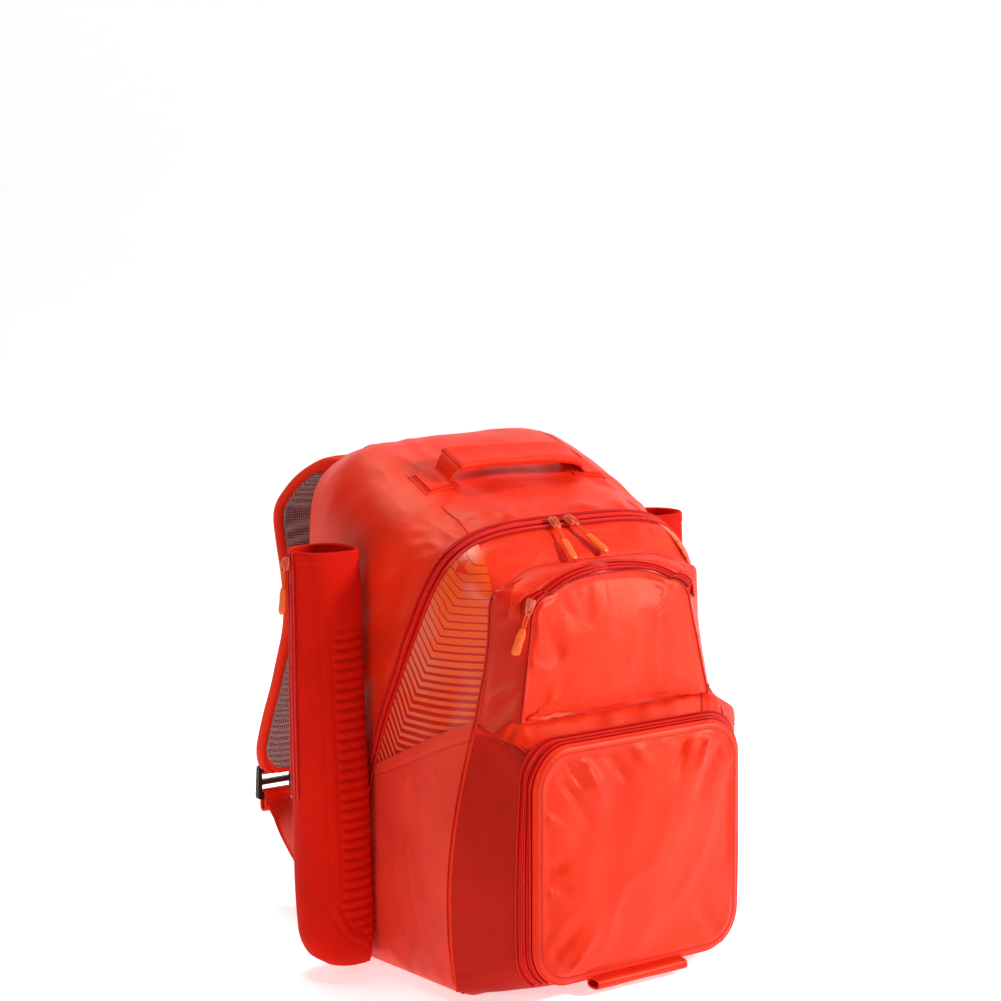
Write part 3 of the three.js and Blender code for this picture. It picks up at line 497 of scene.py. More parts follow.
def add_skin(name, grid, thickness, centre, material, wrap=True, capped=False, replaces=()):
    """A cloth wall whose outer face is the grid."""
    normals = grid_normals(grid, centre, wrap)
    inner = grid - normals * thickness
    rows, columns = grid.shape[:2]
    points = two_sided(grid, inner)
    return add_piece(name, points, shell_faces(rows, columns, wrap, capped), material, replaces)


BAND_SUNK = 0.3


def add_band(name, grid, rise, centre, material, replaces=()):
    """A raised band over a grid. Rise gives its height above each column, or each point."""
    normals = grid_normals(grid, centre, False)
    rise = np.broadcast_to(np.asarray(rise, float), grid.shape[:2])
    over = grid + normals * rise[..., None]
    under = grid - normals * BAND_SUNK
    rows, columns = grid.shape[:2]
    points = two_sided(over, under)
    lengths = np.concatenate([[0], np.cumsum(np.linalg.norm(np.diff(grid[:, columns // 2], axis=0),
                                                            axis=-1))])
    one = np.stack(np.broadcast_arrays(lengths[:, None] * MM, np.linspace(0, 1, columns)[None, :]), -1)
    uv = np.concatenate([one.reshape(-1, 2)] * 2)
    return add_piece(name, points, shell_faces(rows, columns, False), material, replaces, 60, uv)


def transported(path):
    """Two directions across a path at each of its points, without twist."""
    path = np.asarray(path, float)
    way = unit(np.gradient(path, axis=0))
    start = np.cross(way[0], (0.3, 0.2, 0.9))
    side = [start / np.linalg.norm(start)]
    for i in range(1, len(path)):
        turned = side[-1] - np.dot(side[-1], way[i]) * way[i]
        side.append(turned / np.linalg.norm(turned))
    side = np.array(side)
    return side, np.cross(way, side)


def tube_mesh(path, radius, sides=8):
    path = np.asarray(path, float)
    side, up = transported(path)
    turn = np.linspace(0, 2 * math.pi, sides, endpoint=False)
    radius = np.broadcast_to(np.asarray(radius, float), len(path))
    rings = path[:, None] + radius[:, None, None] * (
        np.cos(turn)[None, :, None] * side[:, None] + np.sin(turn)[None, :, None] * up[:, None])
    count = len(path)
    faces = quads(count, sides, True)
    faces.append(list(range(sides)))
    faces.append([(count - 1) * sides + k for k in range(sides)])
    return rings.reshape(-1, 3), faces


def joined(parts):
    points, faces, start = [], [], 0
    for part_points, part_faces in parts:
        points.append(part_points)
        faces += [[start + k for k in face] for face in part_faces]
        start += len(part_points)
    return np.concatenate(points), faces


def resampled(path, spacing):
    path = np.asarray(path, float)
    length = np.concatenate([[0], np.cumsum(np.linalg.norm(np.diff(path, axis=0), axis=1))])
    count = max(int(round(length[-1] / spacing)), 2)
    at = np.linspace(0, length[-1], count + 1)
    return np.stack([np.interp(at, length, path[:, k]) for k in range(3)], -1)


def add_tube(name, path, radius, sides, material):
    points, faces = tube_mesh(path, radius, sides)
    return add_piece(name, points, faces, material)


def add_sewn(name, parts, material, mirror=(1, 1, 1)):
    points, faces = joined(parts)
    return add_piece(name, points * mirror, faces, material)


STITCH_PITCH = 3.4
STITCH_LENGTH = 2.3
STITCH_RADIUS = 0.36


def stitch_mesh(path, lift=0.15, centre=BODY_CENTRE, pitch=STITCH_PITCH):
    """Short threads along a path, each slightly arched."""
    points = resampled(path, pitch)
    way = unit(np.gradient(points, axis=0))
    out = unit(points - np.asarray(centre, float))
    out = unit(out - np.sum(out * way, -1)[:, None] * way)
    parts = []
    for p, w, o in zip(points, way, out):
        share = np.array([-0.5, -0.3, 0.0, 0.3, 0.5])
        rise = lift + np.array([-0.3, 0.05, 0.15, 0.05, -0.3])
        spine = p + share[:, None] * STITCH_LENGTH * w + rise[:, None] * o
        parts.append(tube_mesh(spine, [0.2, STITCH_RADIUS, STITCH_RADIUS, STITCH_RADIUS, 0.2], 5))
    return parts


def sweep_mesh(path, sides, ups, sections):
    """Sections are points (across, up) for each station of the path."""
    sections = np.asarray(sections, float)
    rings = (path[:, None] + sections[..., 0][..., None] * sides[:, None]
             + sections[..., 1][..., None] * ups[:, None])
    count, around = rings.shape[:2]
    faces = quads(count, around, True)
    faces.append(list(range(around)))
    faces.append([(count - 1) * around + k for k in range(around)])
    return rings.reshape(-1, 3), faces


def rounded_section(wide, thick, power=4.0, count=28):
    turn = np.linspace(0, 2 * math.pi, count, endpoint=False)
    c, s = np.cos(turn), np.sin(turn)
    x = wide / 2 * np.sign(c) * np.abs(c) ** (2 / power)
    y = thick / 2 * np.sign(s) * np.abs(s) ** (2 / power)
    return np.stack([x, y], -1)


# Materials
def nodes_of(material):
    tree = material.node_tree
    return tree.nodes, tree.links


def new_material(name, roughness, sheen=0.0, coat=0.0, specular=0.5):
    material = bpy.data.materials.new(name)
    material.use_nodes = True
    shader = material.node_tree.nodes["Principled BSDF"]
    shader.inputs["Roughness"].default_value = roughness
    shader.inputs["Specular IOR Level"].default_value = specular
    shader.inputs["Sheen Weight"].default_value = sheen
    shader.inputs["Sheen Roughness"].default_value = 0.4
    shader.inputs["Coat Weight"].default_value = coat
    shader.inputs["Coat Roughness"].default_value = 0.35
    return material, shader


def tone_and_fold_shade_noise(material, low, high, scale, detail=3.0):
    nodes, links = nodes_of(material)
    place = nodes.new("ShaderNodeTexCoord")
    texture = nodes.new("ShaderNodeTexNoise")
    texture.inputs["Scale"].default_value = scale
    texture.inputs["Detail"].default_value = detail
    links.new(place.outputs["Object"], texture.inputs["Vector"])
    ramp = nodes.new("ShaderNodeValToRGB")
    ramp.color_ramp.elements[0].position = 0.3
    ramp.color_ramp.elements[1].position = 0.72
    ramp.color_ramp.elements[0].color = (*low, 1)
    ramp.color_ramp.elements[1].color = (*high, 1)
    links.new(texture.outputs["Fac"], ramp.inputs["Fac"])
    return place, ramp.outputs["Color"]


# Length in metres of one repeat of a wave texture of scale 1.
WAVE_UNIT = 0.314


def weave_height(material, place, size):
    """Crossed threads of the given pitch in metres, as a height."""
    nodes, links = nodes_of(material)
    heights = []
    for direction in ("X", "Y", "Z"):
        wave = nodes.new("ShaderNodeTexWave")
        wave.bands_direction = direction
        wave.inputs["Scale"].default_value = WAVE_UNIT / size
        links.new(place.outputs["Object"], wave.inputs["Vector"])
        heights.append(wave.outputs["Fac"])
    total = heights[0]
    for other in heights[1:]:
        total = math_node(material, "ADD", total, other)
    return total


def math_node(material, operation, *values):
    nodes, links = nodes_of(material)
    node = nodes.new("ShaderNodeMath")
    node.operation = operation
    for socket, value in zip(node.inputs, values):
        if isinstance(value, (int, float)):
            socket.default_value = value
        else:
            links.new(value, socket)
    return node.outputs[0]


def add_bump(material, shader, height, distance, strength=1.0, under=None):
    nodes, links = nodes_of(material)
    bump = nodes.new("ShaderNodeBump")
    bump.inputs["Distance"].default_value = distance
    bump.inputs["Strength"].default_value = strength
    links.new(height, bump.inputs["Height"])
    if under is not None:
        links.new(under, bump.inputs["Normal"])
    links.new(bump.outputs["Normal"], shader.inputs["Normal"])
    return bump.outputs["Normal"]


def crinkle(material, place, scale, distortion=0.6):
    nodes, links = nodes_of(material)
    texture = nodes.new("ShaderNodeTexNoise")
    texture.inputs["Scale"].default_value = scale
    texture.inputs["Detail"].default_value = 4
    texture.inputs["Roughness"].default_value = 0.45
    texture.inputs["Distortion"].default_value = distortion
    links.new(place.outputs["Object"], texture.inputs["Vector"])
    return texture.outputs["Fac"]


def cloth_material(name, low, high, roughness, sheen, weave, depth, crinkles, specular):
    """Woven cloth: two tones in blotches, partly painted fold shade, soft crinkles and a fine crossed
    weave.
    """
    material, shader = new_material(name, roughness, sheen, 0.0, specular)
    shader.inputs["Sheen Tint"].default_value = (1.0, 0.45, 0.35, 1)
    shader.inputs["Specular Tint"].default_value = (1.0, 0.70, 0.42, 1)
    # The blotches, about 70 mm across, are painted shade of soft folds as well as the cloth's own uneven
    # tone.
    place, colour = tone_and_fold_shade_noise(material, low, high, 14)
    material.node_tree.links.new(colour, shader.inputs["Base Color"])
    under = add_bump(material, shader, crinkle(material, place, 26), crinkles, 0.5)
    add_bump(material, shader, weave_height(material, place, weave), depth, 0.6, under)
    return material


def plain_material(name, low, high, roughness, grain, depth, coat=0.0):
    """Moulded rubber, plastic or thread: two close tones and a fine grain."""
    material, shader = new_material(name, roughness, 0.0, coat)
    place, colour = tone_and_fold_shade_noise(material, low, high, 60)
    material.node_tree.links.new(colour, shader.inputs["Base Color"])
    add_bump(material, shader, crinkle(material, place, grain, 0.0), depth, 0.4)
    return material


# Each cloth's low and high tone, roughness, sheen, pitch and depth of the weave, height of the
# crinkles (all three in metres) and specular level.
CLOTHS = {
    "body_cloth": ((0.70, 0.014, 0.002), (0.90, 0.026, 0.004), 0.43, 0.0, 0.0007, 0.00005, 0.0022, 0.42),
    # A darker red than the body's: painted shade on the upper gusset. Its gloss is the cloth's own.
    "gloss_painted_shade_cloth": ((0.56, 0.005, 0.002), (0.68, 0.010, 0.003), 0.34, 0.0, 0.0007, 0.00003, 0.0022, 0.5),
    "side_cloth": ((0.72, 0.034, 0.018), (0.86, 0.046, 0.024), 0.45, 0.03, 0.0007, 0.00005, 0.0020, 0.25),
    "sleeve_cloth": ((0.58, 0.004, 0.001), (0.74, 0.008, 0.002), 0.8, 0.0, 0.0005, 0.00004, 0.0004, 0.15),
    "strap_cloth": ((0.76, 0.022, 0.007), (0.84, 0.030, 0.009), 0.6, 0.05, 0.0009, 0.00009, 0.0005, 0.25),
    "webbing_cloth": ((0.76, 0.018, 0.003), (0.88, 0.026, 0.005), 0.5, 0.0, 0.0016, 0.00016, 0.0004, 0.25),
    "piping_cloth": ((0.78, 0.016, 0.005), (0.88, 0.024, 0.006), 0.40, 0.0, 0.0008, 0.00006, 0.0003, 0.25),
    # A very dark red: painted shade on the lower gusset's sides, which face away from the light.
    "gusset_painted_shade_cloth": ((0.46, 0.004, 0.002), (0.54, 0.007, 0.003), 0.45, 0.0, 0.0007, 0.00005, 0.0016, 0.2),
    "pull_cord": ((0.82, 0.06, 0.015), (0.92, 0.10, 0.03), 0.6, 0.2, 0.0009, 0.0002, 0.0002, 0.25),
}


def cloth(name):
    return cloth_material(name, *CLOTHS[name])


body_cloth = cloth("body_cloth")
gloss_painted_shade_cloth = cloth("gloss_painted_shade_cloth")
side_cloth = cloth("side_cloth")
sleeve_cloth = cloth("sleeve_cloth")
strap_cloth = cloth("strap_cloth")
webbing_cloth = cloth("webbing_cloth")
piping_cloth = cloth("piping_cloth")
seam_thread = plain_material("seam_thread", (0.52, 0.004, 0.002), (0.66, 0.008, 0.003), 0.65, 900, 0.0001)
bright_thread = plain_material("bright_thread", (0.62, 0.010, 0.003), (0.74, 0.016, 0.005), 0.6, 900,
                               0.0001)

# Where the painted shade on the gusset's sides meets the band: height at the middle, slope outwards, fade.
BAND_HEIGHT = 181
BAND_SLOPE = 0.40
BAND_FADE = 3
BAND_TONE = (0.82, 0.022, 0.003, 1)


def band_and_painted_shade_cloth():
    """The lower gusset's cloth: painted shade on its sides, the body's own red on the gathered band above.
    """
    material = cloth("gusset_painted_shade_cloth")
    nodes, links = nodes_of(material)
    shader = next(node for node in nodes if node.type == "BSDF_PRINCIPLED")
    # These dark tones are painted shade on the gusset's sides; the band above gets the body's red.
    dark = shader.inputs["Base Color"].links[0].from_socket
    coords = nodes.new("ShaderNodeTexCoord")
    split = nodes.new("ShaderNodeSeparateXYZ")
    links.new(coords.outputs["Object"], split.inputs["Vector"])
    calc = partial(math_node, material)
    away = calc("ABSOLUTE", split.outputs["X"])
    line = calc("MULTIPLY_ADD", away, BAND_SLOPE, BAND_HEIGHT * MM)
    above = calc("SUBTRACT", split.outputs["Z"], line)
    share = calc("MULTIPLY", above, 1 / (BAND_FADE * MM))
    share.node.use_clamp = True
    mix = nodes.new("ShaderNodeMix")
    mix.data_type = "RGBA"
    links.new(share, mix.inputs[0])
    links.new(dark, mix.inputs[6])
    mix.inputs[7].default_value = BAND_TONE
    links.new(mix.outputs[2], shader.inputs["Base Color"])
    return material


gusset_painted_shade_cloth = band_and_painted_shade_cloth()


def zip_material():
    """Zip tape with a coil: the tone follows the place across it, as painted shade in the grooves and
    painted highlight on the coil and ridges; teeth run along it.
    """
    material, shader = new_material("zip_tape", 0.40, 0.0, 0.0, 0.2)
    nodes, links = nodes_of(material)
    place = nodes.new("ShaderNodeUVMap")
    place.uv_map = "length"
    split = nodes.new("ShaderNodeSeparateXYZ")
    links.new(place.outputs["UV"], split.inputs["Vector"])
    ramp = nodes.new("ShaderNodeValToRGB")
    # The dark stops are painted shade in the grooves, and the highlight tone is painted on the coil and the
    # ridges; the tape keeps its own red.
    painted_highlight = (0.92, 0.012, 0.003, 1)
    tape = (0.70, 0.007, 0.003, 1)
    dark = (0.46, 0.002, 0.001, 1)
    half = [(0.045, dark), (0.10, painted_highlight), (0.17, dark), (0.22, tape), (0.30, tape), (0.345, dark),
            (0.40, painted_highlight), (0.455, painted_highlight), (0.475, dark)]
    stops = half + [(0.50, painted_highlight)] + [(1 - tone_at, tone) for tone_at, tone in half[::-1]]
    elements = ramp.color_ramp.elements
    while len(elements) < len(stops):
        elements.new(0.5)
    for element, (tone_at, tone) in zip(elements, stops):
        element.position = tone_at
        element.color = tone
    links.new(split.outputs["Y"], ramp.inputs["Fac"])
    links.new(ramp.outputs["Color"], shader.inputs["Base Color"])
    wave = nodes.new("ShaderNodeTexWave")
    wave.bands_direction = "X"
    wave.inputs["Scale"].default_value = WAVE_UNIT / 0.0016
    links.new(place.outputs["UV"], wave.inputs["Vector"])
    add_bump(material, shader, wave.outputs["Fac"], 0.0005, 0.7)
    return material


zip_tape = zip_material()
pull_rubber = plain_material("pull_rubber", (0.92, 0.105, 0.004), (0.98, 0.135, 0.008), 0.42, 300, 0.00012)
pull_metal = plain_material("pull_metal", (0.74, 0.085, 0.028), (0.82, 0.11, 0.036), 0.32, 400, 0.00005,
                            0.3)
pull_cord = cloth("pull_cord")
black_plastic = plain_material("black_plastic", (0.010, 0.010, 0.011), (0.018, 0.018, 0.020), 0.38, 500,
                               0.00005)


def mesh_material():
    """Open spacer mesh: a staggered grid of pale threads, with painted shade making its holes dark."""
    material, shader = new_material("spacer_mesh", 0.8, 0.3)
    nodes, links = nodes_of(material)
    place = nodes.new("ShaderNodeTexCoord")
    cells = nodes.new("ShaderNodeTexVoronoi")
    cells.inputs["Scale"].default_value = 420
    cells.inputs["Randomness"].default_value = 0.12
    links.new(place.outputs["Object"], cells.inputs["Vector"])
    ramp = nodes.new("ShaderNodeValToRGB")
    # The near-black of the holes is painted shade.
    ramp.color_ramp.elements[0].position = 0.30
    ramp.color_ramp.elements[0].color = (0.030, 0.012, 0.012, 1)
    ramp.color_ramp.elements[1].position = 0.52
    ramp.color_ramp.elements[1].color = (0.36, 0.27, 0.26, 1)
    links.new(cells.outputs["Distance"], ramp.inputs["Fac"])
    links.new(ramp.outputs["Color"], shader.inputs["Base Color"])
    add_bump(material, shader, cells.outputs["Distance"], 0.0008)
    return material


spacer_mesh = mesh_material()

# The striped side panels: the lines lie level and turn up towards the zip.
STRIPE_PITCH = 6.85
STRIPE_SLOPE = 0.78
STRIPE_BEND = 28
STRIPE_TOP_REAR = -97.0
# Height, and half the dark line's share of a pitch there.
STRIPE_LINES = [(205, 0.31), (235, 0.275), (275, 0.225), (305, 0.14), (345, 0.08), (392, 0.06)]


def stripe_material():
    material, shader = new_material("stripe_film", 0.36, 0.0, 0.0, 0.35)
    nodes, links = nodes_of(material)

    def split_map(name):
        place = nodes.new("ShaderNodeUVMap")
        place.uv_map = name
        split = nodes.new("ShaderNodeSeparateXYZ")
        links.new(place.outputs["UV"], split.inputs["Vector"])
        return split.outputs["X"], split.outputs["Y"]

    calc = partial(math_node, material)
    # The first map holds the stripe's count and half the dark line's share of a pitch.
    # The second holds the place across the panel and up it.
    count, half_line = split_map("length")
    across, up = split_map("place")
    distance = calc("ABSOLUTE", calc("SUBTRACT", calc("FRACT", count), 0.5))
    line = calc("LESS_THAN", distance, half_line)
    coords = nodes.new("ShaderNodeTexCoord")
    cloudy = nodes.new("ShaderNodeTexNoise")
    cloudy.inputs["Scale"].default_value = 30
    cloudy.inputs["Detail"].default_value = 3
    cloudy.inputs["Distortion"].default_value = 0.8
    links.new(coords.outputs["Object"], cloudy.inputs["Vector"])
    place = calc("ADD", calc("MULTIPLY", across, 0.75), calc("MULTIPLY", up, 0.55))
    mottled = calc("MULTIPLY", calc("SUBTRACT", cloudy.outputs["Fac"], 0.5), 1.6)
    tone = nodes.new("ShaderNodeValToRGB")
    tone.color_ramp.elements[0].position = 0.35
    tone.color_ramp.elements[0].color = (0.80, 0.13, 0.055, 1)
    tone.color_ramp.elements[1].position = 0.75
    tone.color_ramp.elements[1].color = (0.90, 0.080, 0.006, 1)
    links.new(calc("ADD", place, mottled), tone.inputs["Fac"])
    mix = nodes.new("ShaderNodeMix")
    mix.data_type = "RGBA"
    links.new(line, mix.inputs[0])
    links.new(tone.outputs["Color"], mix.inputs[6])
    mix.inputs[7].default_value = (0.56, 0.008, 0.003, 1)
    links.new(mix.outputs[2], shader.inputs["Base Color"])
    add_bump(material, shader, calc("SUBTRACT", 1.0, line), 0.0002, 0.5)
    return material


stripe_film = stripe_material()


# Rear half: back panel, top, sides and base
def rear_body():
    rim = seam_depth(RING_STEPS)
    edge = BACK_DEPTH - BACK_EDGE_RADIUS
    rows = []
    for share in np.linspace(0, 1, 44) ** 1.15:
        rows.append(body_point(RING_STEPS, lerp(rim + SEAT, edge, share)))
    outline = rows[-1]
    before = np.roll(outline, 1, 0)
    after = np.roll(outline, -1, 0)
    along = unit((after - before) * (1, 0, 1))
    inwards = np.stack([-along[:, 2], 0 * along[:, 0], along[:, 0]], -1)
    for turn in np.linspace(0, math.pi / 2, 9)[1:]:
        rows.append(outline + inwards * BACK_EDGE_RADIUS * (1 - math.cos(turn))
                    + (0, BACK_EDGE_RADIUS * math.sin(turn), 0))
    panel = rows[-1]
    middle = (panel.min(0) + panel.max(0)) / 2
    for share in (0.97, 0.93, 0.86, 0.76, 0.64, 0.5, 0.36, 0.22, 0.1):
        rows.append(middle + (panel - middle) * share)
    grid = np.stack(rows)
    normals = grid_normals(grid, BODY_CENTRE, True)
    soft = smooth(0, 26, grid[..., 2]) * smooth(0, 14, grid[..., 1] - rim)
    seam_gap = grid[..., 1] - rim
    diagonal = (0.0, -0.75, 0.66)
    lift = REAR_FOLD * folds(grid, 46, diagonal, 2.8, 1) * soft
    lift += REAR_SEAM_FOLD * folds(grid, 22, diagonal, 2.8, 5) * soft * smooth(120, 10, seam_gap)
    near_seam = np.exp(-np.clip(seam_gap, 0, None) / 13) * smooth(6, 13, seam_gap)
    lift += REAR_PUCKER * noise_at(grid, 11, 2) * near_seam
    on_back = smooth(edge, BACK_DEPTH, grid[..., 1])
    grid = grid + normals * (lift * (1 - 0.8 * on_back))[..., None]
    add_skin("rear_body", grid, CLOTH, BODY_CENTRE, body_cloth, True, True, ["rear_shell"])


rear_body()


# Front half: sides, top slope and face
def front_body():
    rim = seam_depth(RING_STEPS)
    rows = []
    for share in np.linspace(0, 1, 34):
        rows.append(body_point(RING_STEPS, lerp(rim - SEAT, CORNER_Y, share)))
    outline = rows[-1]
    along = unit((np.roll(outline, -1, 0) - np.roll(outline, 1, 0)) * (1, 0, 1))
    inwards = np.stack([-along[:, 2], 0 * along[:, 0], along[:, 0]], -1)
    for turn in (0.35, 0.7, 1):
        angle = turn * math.pi / 2
        rows.append(outline + inwards * CORNER_ROLL * (1 - math.cos(angle))
                    - (0, CORNER_ROLL * math.sin(angle), 0))
    face = rows[-1]
    middle = (face.min(0) + face.max(0)) / 2
    for share in (0.96, 0.88, 0.76, 0.6, 0.42, 0.24, 0.1):
        rows.append(middle + (face - middle) * share)
    grid = np.stack(rows)
    normals = grid_normals(grid, BODY_CENTRE, True)
    ahead = rim - grid[..., 1]
    on_top = smooth(330, 380, grid[..., 2]) * smooth(8, 16, ahead) * smooth(CORNER_Y, CORNER_Y + 8,
                                                                            grid[..., 1])
    lift = FRONT_FOLD * folds(grid, 32, (1, -0.4, 0), 2.4, 4) * on_top
    lift += FRONT_PUCKER * noise_at(grid, 10, 6) * np.exp(-np.clip(ahead - 8, 0, None) / 10) * on_top
    grid = grid + normals * lift[..., None]
    add_skin("front_body", grid, CLOTH, BODY_CENTRE, body_cloth, True, True, ["front_shell"])


front_body()

# Half of every zip's profile, from its middle to its edge: share of the half-width and height in
# millimetres above the tape.
ZIP_HALF = [(0.00, 1.2), (0.06, 2.4), (0.17, 2.6), (0.26, 1.9), (0.32, 0.3), (0.56, 0.5), (0.62, 1.7),
            (0.72, 3.0), (0.86, 3.0), (0.95, 1.7), (1.00, 0.2)]
ZIP_ACROSS = np.array([-s for s, _ in ZIP_HALF[:0:-1]] + [s for s, _ in ZIP_HALF])
ZIP_RISE = np.array([h for _, h in ZIP_HALF[:0:-1]] + [h for _, h in ZIP_HALF])


def main_zip():
    side = HALF_STEPS[HALF_STEPS > BASE_STEPS]
    heights = body_point(side, seam_depth(side))[..., 2]
    first = side[np.searchsorted(heights, ZIP_END_HEIGHT)]
    half = np.linspace(first, TOP_STEP, 150)
    steps = np.concatenate([half, -half[:-1][::-1]])
    depth = seam_depth(steps)
    grid = body_point(steps[:, None], depth[:, None] - ZIP_ACROSS * ZIP_WIDTH / 2)
    add_band("main_zip_tape", grid, ZIP_RISE, BODY_CENTRE, zip_tape, ["main_zip"])
    # Below each end of the zip the seam goes on as a thin welt.
    for side_sign, word in ((-1, "left"), (1, "right")):
        low = side_sign * np.linspace(BASE_STEPS, first, 60)
        path = body_point(low, seam_depth(low)) + 0.6 * body_normal(low, seam_depth(low))
        add_tube(f"seam_welt_{word}", path, 1.5, 8, piping_cloth)
        end = side_sign * np.linspace(first - 0.25, first + 0.1, 14)
        stop = body_point(end, seam_depth(end)) + 1.2 * body_normal(end, seam_depth(end))
        width = 6.6 * np.sqrt(np.clip(1 - np.linspace(-1, 0.2, 14) ** 2, 0.02, 1))
        add_tube(f"zip_stop_{word}", stop, width * 0.3, 10, zip_tape)


main_zip()

# Depth and distance from the middle of the top panel's side seams. They run on as the
# front borders of the striped panels.
TOP_SEAM = [(66, 96), (14, 105), (-29, 103), (-67, 100), (-95, 105), (-106, 108), (-122, 112.5),
            (-133, 115.4), (-138, 116.6)]


def surface_at(x, y):
    """The point and normal of the body's top at x and depth y."""
    z = top_height(x, y)
    return np.stack([x, y, z], -1), top_normal(x, y)


def top_step(x, y):
    """The step at which the body's outline has the half-width x, on its shoulder."""
    low = np.full(np.shape(y), float(SIDE_END))
    high = np.full(np.shape(y), float(TOP_STEP))
    for _ in range(30):
        middle = (low + high) / 2
        wide = body_point(middle, y)[..., 0] > x
        low = np.where(wide, middle, low)
        high = np.where(wide, high, middle)
    return (low + high) / 2


def stripe_border(y):
    table = sorted(TOP_SEAM)
    return np.interp(y, [row[0] for row in table], [row[1] for row in table])


def top_seams():
    y = np.linspace(84, seam_depth(np.array(TOP_STEP - 1.0)) + 9, 70)
    for sign, word in ((-1, "left"), (1, "right")):
        steps = sign * top_step(stripe_border(y), y)
        path = body_point(steps, y) + 0.1 * body_normal(steps, y)
        add_tube(f"top_seam_{word}", path, 0.45, 6, seam_thread)


top_seams()


# The striped panels lie over the front sides, between the zip and the corner.
def stripe_panel(sign, word):
    across = np.linspace(0, 1, 40)
    up = np.linspace(0, 1, 90)
    rows = []
    for t in across:
        # The rear border follows the zip's front edge and the front one the corner seam.
        top_y = lerp(STRIPE_TOP_REAR, CORNER_Y + 1.5, t)
        top = float(top_step(stripe_border(np.array(top_y)), np.array(top_y)))
        z_low = lerp(SIDE_POCKET_REAR, SIDE_POCKET_FRONT, t) - 7
        steps = np.linspace(ROLL_END + 1.0, top, 400)
        rear = seam_depth(steps) - ZIP_WIDTH / 2 + 0.6
        y = lerp(rear, np.full(400, CORNER_Y + 0.5), t)
        y = np.maximum(y, CORNER_Y + 0.5)
        line = body_point(steps, y)
        keep = line[:, 2] > z_low
        line = line[keep]
        inner = np.linspace(0, len(line) - 1, len(up))
        rows.append(np.stack([np.interp(inner, np.arange(len(line)), line[:, k]) for k in range(3)], -1))
    grid = np.stack(rows, 1) * (sign, 1, 1)
    rear_edge = grid[:, 0, 1][:, None]
    z = grid[..., 2]
    bend = STRIPE_BEND * (1 - 0.5 * smooth(340, 392, z))
    back = np.clip(grid[..., 1] - (rear_edge - bend), 0, None)
    count = (z - STRIPE_SLOPE * back) / STRIPE_PITCH
    up_share = np.clip((z - SIDE_POCKET_REAR - 12) / 190, 0, 1)
    half_line = np.interp(z, *zip(*STRIPE_LINES))
    uv = np.stack([count, half_line], -1).reshape(-1, 2)
    place = np.stack([across[None, :] + 0 * z, up_share], -1).reshape(-1, 2)
    normals = grid_normals(grid, BODY_CENTRE, False)
    over = grid + normals * 1.2
    under = grid - normals * 0.3
    rows_count, columns = grid.shape[:2]
    points = two_sided(over, under)
    panel = add_piece(f"stripe_panel_{word}", points, shell_faces(rows_count, columns, False), stripe_film,
                      (), 48, np.concatenate([uv, uv]))
    add_uv(panel.data, "place", np.concatenate([place, place]))
    # A dark welt closes its front border, up the corner and over the shoulder.
    edge = over[:, -1]
    add_tube(f"stripe_border_{word}", edge, 0.8, 8, seam_thread)


stripe_panel(-1, "left")
stripe_panel(1, "right")


# Corner piping from the side pocket's top down to the base
def corner_piping():
    for sign, word in ((-1, "left"), (1, "right")):
        z = np.linspace(8, SIDE_POCKET_FRONT, 70)
        path = np.stack([sign * (border(z) - 0.6), np.full(len(z), CORNER_Y - 1.8), z], -1)
        add_tube(f"corner_piping_{word}", path, 1.5, 10, piping_cloth)


corner_piping()


# Folds of the upper face and of the lid: where each starts and ends in X and Z, its
# width and its depth.
FACE_FOLDS = [
    (-84, 346, -66, 300, 5.0, -2.0),
    (-88, 338, -84, 292, 4.0, 1.4),
    (-60, 358, -44, 322, 5.0, -1.4),
    (-100, 300, -76, 286, 5.0, 1.5),
    (-98, 286, -70, 270, 4.5, -1.3),
    (-86, 252, -82, 274, 3.0, -1.8),
    (-74, 252, -72, 280, 3.0, 1.4),
    (-66, 252, -60, 276, 3.0, -1.6),
    (20, 252, 24, 270, 3.0, -1.0),
    (70, 352, 58, 318, 5.0, -1.2),
]
LID_FOLDS = [
    (-92, 205, -62, 158, 5.0, -1.9),
    (-84, 216, -70, 190, 3.0, -1.3),
    (-70, 219, -48, 176, 5.5, 1.6),
    (-40, 221, -22, 192, 4.5, -1.4),
    (-8, 222, 6, 196, 4.0, 1.1),
    (56, 221, 34, 182, 5.0, -1.7),
    (78, 219, 62, 188, 4.0, 1.5),
    (96, 208, 60, 160, 6.5, -1.3),
    (-112, 172, -84, 150, 5.0, 1.2),
    (-113, 118, -84, 128, 4.5, -1.6),
    (-112, 104, -82, 92, 4.0, 1.4),
    (-104, 40, -70, 76, 6.5, -1.9),
    (-88, 28, -58, 62, 4.0, 1.3),
    (92, 34, 62, 62, 6.0, -1.3),
]


def fold_lift(points, table):
    """The lift of points by straight folds that taper to their ends."""
    lift = np.zeros(points.shape[:-1])
    for x0, z0, x1, z1, width, depth in table:
        way = np.array([x1 - x0, z1 - z0], float)
        length = np.linalg.norm(way)
        way = way / length
        rel = points[..., (0, 2)] - (x0, z0)
        along = (rel @ way) / length
        off = rel @ np.array([-way[1], way[0]])
        taper = smooth(-0.15, 0.25, along) * smooth(1.25, 0.5, along)
        spread = width * (0.7 + 0.6 * np.clip(along, 0, 1))
        lift += depth * taper * np.exp(-(off / spread) ** 2)
    return lift


